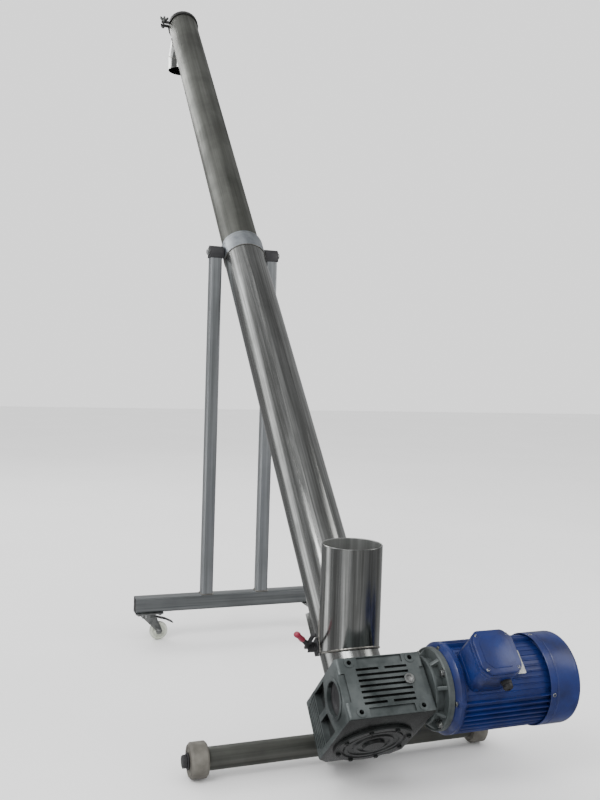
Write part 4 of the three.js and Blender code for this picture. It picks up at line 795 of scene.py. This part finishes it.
def terminal_box():
    low, high = span("terminal_box", ON_MOTOR)
    length, width = high.x - low.x, high.y - low.y
    body = prism(cornered(length, width, 0.012), low.z, high.z)
    collar = prism(cornered(length + 0.003, width + 0.003, 0.013), high.z - 0.004, high.z)
    foot = prism(cornered(length + 0.002, width - 0.006, 0.011), low.z, CORE_R + 0.009)
    walls = []
    inside = cornered(length - 0.008, width - 0.008, 0.010)
    for piece, ease, lift in ((body, 0.001, 0), (foot, 0.001, 0.0002), (collar, 0.0008, 0)):
        saddle = turned(rod(CORE_R + 0.001, -0.1, 0.1), math.pi / 2, "Y")
        wall = cut(eased(piece, ease), saddle)
        walls.append(cut(wall, prism(inside, CORE_R + 0.005 + lift, high.z + 0.002)))
    part("terminal_box", together(*walls), ON_MOTOR)

    low, high = span("terminal_box_lid", ON_MOTOR)
    length, width, top = high.x - low.x, high.y - low.y, high.z
    rim = eased(prism(cornered(length, width, 0.016), low.z, low.z + 0.007), 0.0012)
    dome = eased(prism(cornered(length - 0.005, width - 0.005, 0.0155), low.z + 0.006, top - 0.001), 0.003, 3)
    panel = eased(prism(cornered(length - 0.026, width - 0.026, 0.012), top - 0.004, top), 0.0009)
    part("terminal_box_lid", *level(together(rim, dome, panel), ON_MOTOR))
    x, y = length / 2 - 0.0125, width / 2 - 0.0125
    screws = four_of(lambda: socket_screw(0.0034, 0.0018), x, y, top - 0.0028)
    trim("lid_screws", screws, ON_MOTOR, "frame", "zinc_plate")
    gasket = prism(cornered(length - 0.007, width - 0.007, 0.013), low.z - 0.0014, low.z + 0.0008)
    trim("lid_gasket", gasket, ON_MOTOR, "frame", "black_plastic")


def cable_gland():
    low, high = span("cable_gland", ON_MOTOR)
    centre = (low + high) / 2
    r = (high.x - low.x) / 2
    seat = -span("terminal_box", ON_MOTOR)[1].y
    reach = seat - low.y
    body = eased(prism(around(r, 6), 0, reach * 0.4), 0.0008)
    dome = lathe([
        (0, reach * 0.35), (r * 0.82, reach * 0.35), (r * 0.86, reach * 0.5), (r * 0.84, reach * 0.75),
        (r * 0.66, reach * 0.93), (r * 0.42, reach), (r * 0.36, reach), (r * 0.36, reach * 0.8),
        (0, reach * 0.8),
    ], SMALL_SIDES)
    gland = facing(together(body, dome), (0, -1, 0))
    part("cable_gland", shifted(gland, centre.x, seat, centre.z), ON_MOTOR)


terminal_box()
cable_gland()


def rating_plate():
    """Blank plate riveted over the fins beside the terminal box."""
    plate = eased(prism(rounded(0.030, 0.046, 0.003, 3), 0, 0.0008), 0.0002, 1)
    rivet = [(0, 0), (0.0016, 0), (0.0012, 0.0014), (0, 0.0016)]
    rivets = [shifted(lathe(rivet, 16), y=y) for y in (-0.019, 0.019)]
    place = ON_MOTOR @ Matrix.Translation(((lid_high.z - lid_low.z) / 2 + 0.022, 0, FIN_TIP + 0.0004))
    trim("rating_plate", together(plate, *rivets), place, "frame", "zinc_plate")


rating_plate()

# ---------------------------------------------------------------- tubes, hopper and spout
TUBE_LOW, TUBE_HIGH = span("lower_tube", LINE)
collar_low, collar_high = span("joint_collar", LINE)
upper_low, upper_high = span("upper_tube", LINE)
flange_low, flange_high = span("tube_flange", LINE)
hopper_low, hopper_high = span("hopper")
pivot_line = LINE.inverted() @ joint_place("stand_fold")
LOWER_R, LOWER_WALL = 0.05715, 0.003
BAND = 0.002  # thickness of the pivot band round the lower tube
UPPER_R, UPPER_WALL = upper_high.x, 0.002
BAND_HALF = 0.025
HOPPER_R = (hopper_high.x - hopper_low.x) / 2
HOPPER_WALL = 0.003
hopper_axis = (hopper_low + hopper_high) / 2
# Where the hopper's axis crosses the tube's, as a distance up the tube.
CROSSING = ((hopper_axis.y - GEARBOX.y) / TUBE_AXIS.y)
RIM_HEIGHT = hopper_high.z - (GEARBOX.z + CROSSING * TUBE_AXIS.z)
WORLD_UP = (LINE.inverted().to_3x3() @ UP).normalized()
MITRE_BACK = (WORLD_UP + UP).normalized()
MITRE_FRONT = (WORLD_UP - UP).normalized()
HOPPER_CENTRE = Vector((0, 0, CROSSING))


def hopper_side():
    """Wedge above both mitre planes, where the hopper's wall takes over from the tube's."""
    corners = [(0, 0), (1, 0), (1, 1), (0, 1)]
    points = [(HOPPER_CENTRE + 0.5 * (MITRE_FRONT * a + MITRE_BACK * b)) for a, b in corners]
    wedge = prism([(p.z, p.y) for p in points], -0.3, 0.3)
    return moved(wedge, SWAP_XZ)


def mitre_curve(radius, lift):
    """Closed curve round the joint of tube and hopper, at a radius from the tube's axis."""
    points = []
    steps = 60
    for normal, order in ((MITRE_FRONT, 1), (MITRE_BACK, -1)):
        for k in range(steps):
            a = math.pi + math.pi * k / steps if order > 0 else 2 * math.pi - math.pi * k / steps
            x, y = radius * math.cos(a), radius * math.sin(a)
            z = -y * normal.y / normal.z
            points.append(HOPPER_CENTRE + Vector((x, y, z)) + WORLD_UP * lift)
    return points


def tube_flange():
    low, high = flange_low, flange_high
    r = high.x
    plate = pipe(0.020, r, low.z, high.z, 0.001)
    bolts = ring_of(lambda: hex_bolt(0.0055, 0.0045), 8, r - 0.0065, high.z, math.pi / 8)
    part("tube_flange", together(plate, bolts), LINE)
    weld = bead(circle(LOWER_R + 0.0008, high.z + 0.0012), 0.0024)
    trim("flange_weld", weld, LINE, "frame", "brushed_stainless", WELD)


def lower_tube():
    shell = pipe(LOWER_R - LOWER_WALL, LOWER_R, TUBE_LOW.z, TUBE_HIGH.z, 0.0004, FINE_SIDES)
    pin = sum(span("door_hinge_pin", LINE), Vector()) / 2
    door_low, door_high = span("cleanout_door", LINE)
    angle = math.radians(44)
    arc = [math.pi / 2 - angle + 2 * angle * k / 16 for k in range(17)]
    opening = [(0.064 * math.cos(a), 0.064 * math.sin(a)) for a in arc]
    opening += [(0.045 * math.cos(a), 0.045 * math.sin(a)) for a in reversed(arc)]
    shell = cut(shell, hopper_side())
    shell = cut(shell, prism(opening, door_low.z + 0.008, door_high.z - 0.008))
    band_ends = pivot_line.z - BAND_HALF, pivot_line.z + BAND_HALF
    band = pipe(LOWER_R - 0.001, LOWER_R + BAND, *band_ends, 0.0008, FINE_SIDES)
    ears = []
    turn = math.atan2(pin.x, pin.y)
    for z in (door_low.z - 0.0125, door_high.z + 0.0005):
        ear = pipe(0.0033, 0.0055, z, z + 0.012, 0.0004, SMALL_SIDES)
        web = turned(block(-0.0038, 0.0038, LOWER_R - 0.001, LOWER_R + 0.004, z, z + 0.012), -turn, "Z")
        ears += [shifted(ear, pin.x, pin.y, 0), eased(web, 0.0006)]
    part("lower_tube", together(shell, *ears), LINE)
    trim("pivot_band", band, LINE, "frame", "brushed_stainless", BAND_STEEL)
    beads = []
    for z in (band_ends[0] - 0.0004, band_ends[1] + 0.0002):
        beads.append(bead(circle(LOWER_R + 0.0007, z, 170), 0.0011))
    trim("band_weld", together(*beads), LINE, "frame", "brushed_stainless", WELD)


def hopper():
    r = HOPPER_R
    top = RIM_HEIGHT
    wall = lathe([
        (r - HOPPER_WALL, -0.25), (r, -0.25), (r, top - 0.001), (r - 0.0009, top),
        (r - HOPPER_WALL + 0.0009, top), (r - HOPPER_WALL, top - 0.001),
    ], FINE_SIDES)
    stand = Matrix.Translation(HOPPER_CENTRE) @ UP.rotation_difference(WORLD_UP).to_matrix().to_4x4()
    body = combine("INTERSECT", moved(wall, stand), hopper_side())
    # its own frame stands upright, so that its finish runs up and down
    place = Matrix.Translation(GEARBOX + TUBE_AXIS * CROSSING)
    obj = part("hopper", moved(body, place.inverted() @ LINE), place)
    middle = HOPPER_R - HOPPER_WALL / 2
    repaint(obj, INSIDE, lambda centre, normal: math.hypot(centre.x, centre.y) < middle)
    weld = bead(mitre_curve(LOWER_R + 0.0016, 0.0004), 0.0023)
    trim("hopper_weld", weld, LINE, "frame", "polished_stainless", WELD)


def upper_tube():
    shell = pipe(UPPER_R - UPPER_WALL, UPPER_R, upper_low.z, upper_high.z, 0.0004, FINE_SIDES)
    hole = facing(rod(SPOUT_R - SPOUT_WALL, 0.001, 0.1), (0, 1, 0))
    part("upper_tube", cut(shell, shifted(hole, z=SPOUT_AT)), LINE)


def joint_collar():
    """Ring that closes the end of the wide tube, with a skirt inside it for the narrow one."""
    rim, z1 = TUBE_HIGH.z + CLEAR, collar_high.z
    r, inside, skirt = collar_high.x, UPPER_R + CLEAR, LOWER_R - LOWER_WALL - CLEAR
    body = lathe([
        (inside, collar_low.z), (skirt, collar_low.z), (skirt, rim), (r - 0.0008, rim), (r, rim + 0.0008),
        (r, z1 - 0.001), (r - 0.001, z1), (inside, z1),
    ], FINE_SIDES)
    part("joint_collar", body, LINE, BAND_STEEL)
    weld = bead(circle(UPPER_R + 0.0009, z1 + 0.0012), 0.0020)
    trim("collar_weld", weld, LINE, "frame", "brushed_stainless", WELD)


# The spout leaves the tube square to it and then drops straight down.
spout_low, spout_high = span("discharge_spout")
SPOUT_R = (spout_high.x - spout_low.x) / 2
SPOUT_WALL = 0.002
mouth = Vector(((spout_low.x + spout_high.x) / 2, spout_high.y - SPOUT_R, spout_low.z))
mouth_line = LINE.inverted() @ mouth
SPOUT_FROM_END = 0.085  # spout's centre to the high end of the tube
SPOUT_AT = upper_high.z - SPOUT_FROM_END
# The elbow stands straight above the mouth, where the square leg meets the dropping one.
ELBOW_DROP = (SPOUT_AT - mouth_line.z) / WORLD_UP.z
ELBOW = mouth_line + WORLD_UP * ELBOW_DROP


def bent_rings(radius, path, sides=SIDES):
    """Rings of a round pipe along straight legs in the Y-Z plane, mitred where they meet."""
    legs = [(b - a).normalized() for a, b in zip(path, path[1:])]
    rings = []
    for k, centre in enumerate(path):
        before, after = legs[max(k - 1, 0)], legs[min(k, len(legs) - 1)]
        along = (before + after).normalized()
        side = Vector((0, -along.z, along.y)) / along.dot(after)
        rings.append([centre + ACROSS * x + side * y for x, y in around(radius, sides)])
    return rings


def discharge_spout():
    start = Vector((0, 0, SPOUT_AT))
    path = [start, ELBOW, mouth_line]
    outside = skinned(bent_rings(SPOUT_R, path))
    inside = skinned(bent_rings(SPOUT_R - SPOUT_WALL, [start, ELBOW, mouth_line - WORLD_UP * 0.001]))
    clear = rod(UPPER_R + CLEAR, SPOUT_AT - 0.1, SPOUT_AT + 0.1)
    body = cut(cut(outside, inside), clear)
    place = Matrix.Translation(LINE @ ELBOW)
    part("discharge_spout", moved(body, place.inverted() @ LINE), place)
    saddle = []
    for x, z in around(SPOUT_R + 0.0008, 140):
        saddle.append(Vector((x, math.sqrt(max((UPPER_R + 0.001) ** 2 - x * x, 0)), SPOUT_AT + z)))
    mitre = bent_rings(SPOUT_R + CLEAR, path, 150)[1]
    beads = together(bead(saddle, 0.0018), bead(mitre, 0.0014))
    trim("spout_weld", *level(beads, LINE), "frame", "polished_stainless", WELD)
    rolled = pipe(SPOUT_R - 0.0021, SPOUT_R + 0.0004, 0, 0.0024, 0.0006)
    place = Matrix.Translation((mouth.x, mouth.y, spout_low.z + 0.0002))
    trim("spout_lip", rolled, place, "frame", "polished_stainless")


def end_cover():
    low, high = span("end_cover", LINE)
    seat = upper_high.z + CLEAR
    r, top = high.x, high.z
    profile = [
        (0, top - 0.001), (0.010, top - 0.001), (0.012, top), (0.030, top), (0.032, top - 0.0022),
        (r - 0.0012, top - 0.0022), (r, top - 0.0034), (r, seat), (0.031, seat), (0.031, low.z),
        (0.0263, low.z), (0.0263, seat + 0.002), (0, seat + 0.002),
    ]
    bolts = ring_of(lambda: hex_bolt(0.0044, 0.0021), 4, 0.0215, top - 0.0002, math.pi / 4)
    part("end_cover", together(lathe(profile), bolts), LINE, CLAMP_STEEL)


def clamp():
    refined("clamp_ring", 0.0007, CLAMP_STEEL)
    low, high = span("clamp_bolt", LINE)
    middle = (low + high) / 2
    shank_r = 0.004
    head = facing(hex_bolt(0.0068, 0.006), (0, 1, 0))
    shank = facing(pipe(0.0001, shank_r, low.y, high.y - 0.005, 0.0005, SMALL_SIDES), (0, 1, 0))
    body = together(shifted(head, middle.x, high.y - 0.006, middle.z), shifted(shank, middle.x, 0, middle.z))
    part("clamp_bolt", body, LINE)
    refined("wing_nut", 0.0006)


tube_flange()
lower_tube()
hopper()
upper_tube()
joint_collar()
discharge_spout()
end_cover()
clamp()


def screw():
    """Shaft and the flight that shows in the hopper."""
    low, high = span("auger_shaft", LINE)
    shaft_r = high.x
    start = flange_low.z - 0.0005
    body = lathe([
        (0, low.z), (0.014, low.z), (0.014, start), (shaft_r, start), (shaft_r, high.z - 0.019),
        (0.0125, high.z - 0.018), (0.0125, high.z), (0, high.z),
    ], SMALL_SIDES)
    part("auger_shaft", body, LINE)
    low, high = span("feed_flight", LINE)
    pitch, thick, steps = 0.090, 0.003, 40
    count = round((high.z - low.z - thick) / pitch * steps)
    edge = 0.0006
    section = mirrored([(shaft_r, 0), (high.y - edge, 0), (high.y, edge)], thick)
    rings = []
    for k in range(count + 1):
        h = low.z + (high.z - low.z - thick) * k / count
        a = 2 * math.pi * h / pitch
        rings.append([(r * math.cos(a), r * math.sin(a), h + z) for r, z in section])
    part("feed_flight", skinned(rings), LINE)


screw()

# ---------------------------------------------------------------- door and latch
for node, width in (
    ("cleanout_door", 0.0005), ("latch_base", 0.0008), ("latch_lever", 0.0007), ("axle_bracket", 0.0012),
    ("upright_head_left", 0.0016), ("upright_head_right", 0.0016),
):
    refined(node, width)


def latch_grip():
    """Dipped grip: a long round sleeve."""
    obj = frame["nodes"]["latch_grip"]
    points = [v.co for v in obj.data.vertices]
    pivot = joint_place("latch_swing")
    centre = sum((p.copy() for p in points), Vector()) / len(points)
    along = centre - pivot
    along = (along - TUBE_AXIS * along.dot(TUBE_AXIS)).normalized()
    reach = [(p - pivot).dot(along) for p in points]
    start, end = min(reach), max(reach)
    length = end - start
    profile = [
        (0, 0), (0.0042, 0), (0.0056, 0.0022), (0.0062, 0.005), (0.0052, length * 0.45),
        (0.0055, length * 0.65), (0.0066, length - 0.007), (0.0058, length - 0.0025),
        (0.0035, length - 0.0002), (0, length),
    ]
    place = axes(pivot + along * start, TUBE_AXIS, along)
    body = lathe(profile, SMALL_SIDES)
    bmesh.ops.scale(body, vec=(0.86, 1.0, 1.0), verts=body.verts)
    part("latch_grip", body, place)


latch_grip()

# ---------------------------------------------------------------- axle and rollers
# Parts of both ends are drawn for the right one, and turned over for the left.
FLIP = {"left": Matrix.Rotation(math.pi, 4, "X"), "right": Matrix.Identity(4)}


def pin(radius, z0, z1):
    """Round pin with eased ends, drawn about a bore too fine to see."""
    return pipe(0.0001, radius, z0, z1, 0.0006, SMALL_SIDES)


def axle():
    low, high = span("axle_tube", AXLE)
    r, half = high.x, high.z
    hole = 0.0083
    body = lathe(mirrored([
        (r - 0.003, -half + 0.010), (hole, -half + 0.010), (hole, -half), (r - 0.001, -half),
        (r, -half + 0.001),
    ], 0))
    part("axle_tube", body, AXLE)
    for label, flip in FLIP.items():
        low, high = span(f"roller_{label}", AXLE)
        inner, outer = sorted((abs(low.z), abs(high.z)))
        r, c = high.x, 0.004
        roller = lathe(mirrored([
            (hole, inner), (0.016, inner), (0.0175, inner + 0.0012), (r - c - 0.003, inner + 0.0012),
            (r - c - 0.002, inner), (r - c, inner), (r - 0.0004, inner + c - 0.0006), (r, inner + c),
        ], inner + outer))
        part(f"roller_{label}", moved(roller, flip), AXLE)
        low, high = span(f"roller_bolt_{label}", AXLE)
        near, far = sorted((abs(low.z), abs(high.z)))
        seat = far - 0.011
        shank = pin(0.008, near, seat + 0.001)
        washer = pin(0.016, seat, seat + 0.0025)
        head = shifted(hex_bolt(0.0136, 0.0082), z=seat + 0.0024)
        part(f"roller_bolt_{label}", moved(together(shank, washer, head), flip), AXLE)


axle()

# ---------------------------------------------------------------- stand
def stand():
    low, high = span("base_beam")
    centre = (low + high) / 2
    section, half = high.z - low.z, (high.x - low.x) / 2
    place = axes(centre, UP, ACROSS)
    part("base_beam", square_tube(section, -half, half), place, BEAM_STEEL)
    caps = []
    for side in (-1, 1):
        plug = eased(prism(rounded(section - 0.0044, section - 0.0044, 0.003), -0.012, 0), 0.0008)
        caps.append(shifted(plug, z=side * (half - 0.0006) + (0.012 if side < 0 else 0)))
    trim("beam_plugs", together(*caps), place, "stand", "black_plastic")
    for label, flip in FLIP.items():
        low, high = span(f"upright_{label}")
        centre = (low + high) / 2
        width = high.x - low.x
        place = Matrix.Translation((centre.x, centre.y, 0))
        part(f"upright_{label}", square_tube(width, low.z, high.z), place)
        loop = rounded(width + 0.001, width + 0.001, 0.005, 30)
        weld = bead([Vector((x, y, low.z + 0.0004)) for x, y in loop], 0.0020)
        trim(f"upright_weld_{label}", weld, place, "stand", "brushed_stainless", WELD)
        low, high = span(f"pivot_pin_{label}", PIVOT)
        near, far = sorted((abs(low.z), abs(high.z)))
        seat = far - 0.007
        shank = pin(0.006, near, seat + 0.001)
        head = lathe([
            (0, seat), (0.010, seat), (0.010, seat + 0.0014), (0.0092, seat + 0.0042),
            (0.0065, seat + 0.0062), (0.0034, seat + 0.007), (0.0032, seat + 0.0045), (0, seat + 0.0045),
        ], SMALL_SIDES)
        part(f"pivot_pin_{label}", moved(together(shank, head), flip), PIVOT)


stand()


# ---------------------------------------------------------------- casters
def caster(label):
    low, high = span(f"caster_plate_{label}")
    centre = (low + high) / 2
    width, depth = high.x - low.x, high.y - low.y
    plate = eased(prism(rounded(width, depth, 0.007), low.z, high.z), 0.0006)
    bolt = lambda: turned(hex_bolt(0.0052, 0.0036, 0.0018), math.pi, "X")
    bolts = four_of(bolt, width / 2 - 0.0095, depth / 2 - 0.009, low.z)
    place = Matrix.Translation((centre.x, centre.y, 0))
    part(f"caster_plate_{label}", plate, place)
    trim(f"caster_bolts_{label}", bolts, place, "stand", "zinc_plate")
    refined(f"caster_fork_{label}", 0.0006)
    refined(f"caster_brake_{label}", 0.0007)
    wheel_place = axes(joint_place(f"wheel_{label}_spin"), ACROSS, Vector((0, 1, 0)))
    low, high = span(f"caster_wheel_{label}", wheel_place)
    r, w = high.x, high.z
    half = [
        (0.0043, -w), (0.0095, -w), (0.0105, -w + 0.001), (0.011, -w + 0.0035), (r - 0.009, -w + 0.0035),
        (r - 0.0075, -w + 0.0012), (r - 0.004, -w + 0.0008), (r - 0.0012, -w + 0.0028),
        (r - 0.0002, -w + 0.006), (r, 0),
    ]
    wheel = lathe(half + mirrored(half, 0)[len(half) + 1:])
    part(f"caster_wheel_{label}", wheel, wheel_place)
    nuts = []
    for side in (-1, 1):
        nut = facing(hex_bolt(0.0066, 0.0018), (0, 0, side))
        nuts.append(shifted(nut, z=side * (w + 0.0040)))
    trim(f"caster_nuts_{label}", together(*nuts), wheel_place, f"caster_{label}", "zinc_plate")


for label in ("left", "right"):
    caster(label)

# ---------------------------------------------------------------- finishes of the CAD nodes that stay
for node, obj in frame["nodes"].items():
    if not obj.hide_render:
        obj.data.materials.clear()
        obj.data.materials.append(MATERIAL[SLOT[node]])


# ---------------------------------------------------------------- floor, sky and lights
def floor():
    bm = bmesh.new()
    size = 12
    signs = ((-1, -1), (1, -1), (1, 1), (-1, 1))
    bm.faces.new([bm.verts.new((x * size, y * size, 0)) for x, y in signs])
    obj = link("floor", bm, Matrix.Translation((0, 0, -0.0005)))
    material, shader = new_material("floor", (0.88, 0.88, 0.88), 0.8)
    cloud = texture(material, 1.2, 4)
    wired(material.node_tree, shader, {"Base Color": ramp(material, cloud, (0.3, 0.87), (0.7, 0.90))})
    obj.data.materials.append(material)
    # the steel reflects the room's panels, not the pale floor
    obj.visible_glossy = False


ROOM = 1.5  # brightness of the pale room


def sky():
    """Pale studio: broad light and dark panels stand round the object, for the steel to reflect."""
    world = bpy.data.worlds.new("studio")
    bpy.context.scene.world = world
    world.use_nodes = True
    tree = world.node_tree
    new = tree.nodes.new
    ray = new("ShaderNodeTexCoord").outputs["Generated"]
    split = wired(tree, new("ShaderNodeSeparateXYZ"), {"Vector": ray})
    turn = new("ShaderNodeMath")
    turn.operation = "ARCTAN2"
    wired(tree, turn, {0: split.outputs["Y"], 1: split.outputs["X"]})
    scale = wired(tree, new("ShaderNodeMapRange"), {
        "From Min": -math.pi, "From Max": math.pi, "Value": turn.outputs[0],
    })
    stops = [
        (0.0, 0.22), (0.08, 0.26), (0.10, 1.1), (0.145, 1.2), (0.165, 0.36), (0.23, 0.30), (0.25, 0.55),
        (0.29, 0.42), (0.34, 0.24), (0.48, 0.20), (0.60, 0.35), (0.69, 0.5), (0.80, 0.22), (0.875, 0.3),
        (0.89, 2.0), (0.92, 2.0), (0.94, 0.3), (1.0, 0.22),
    ]
    tinted = [(position, (grey, grey, grey * 1.01)) for position, grey in stops]
    panels = ramp(world, scale.outputs["Result"], *tinted)
    # Mirror-like surfaces see the panels, and everything else an even pale room.
    glossy = new("ShaderNodeLightPath").outputs["Is Glossy Ray"]
    color = mixed(world, (ROOM, ROOM, ROOM, 1), panels, glossy, "MIX")
    wired(tree, tree.nodes["Background"], {"Color": color, "Strength": 1.0})


def area_light(name, place, target, size, power, tint=(1, 1, 1)):
    data = bpy.data.lights.new(name, "AREA")
    data.shape = "RECTANGLE"
    data.size, data.size_y = size
    data.energy = power
    data.color = tint
    obj = bpy.data.objects.new(name, data)
    bpy.context.scene.collection.objects.link(obj)
    away = (Vector(place) - Vector(target)).normalized()
    obj.matrix_world = axes(Vector(place), UP.cross(away).normalized(), away)
    return obj


floor()
sky()
MIDDLE = (cad_box[0] + cad_box[1]) / 2
area_light("key", MIDDLE + Vector((-2.6, -2.2, 2.6)), MIDDLE, (1.8, 1.8), 95)
area_light("fill", MIDDLE + Vector((2.8, -1.8, 1.2)), MIDDLE, (2.2, 2.2), 35, (1, 0.99, 0.97))
area_light("rim", MIDDLE + Vector((-1.2, 3.0, 2.0)), MIDDLE, (2.5, 1.2), 55)
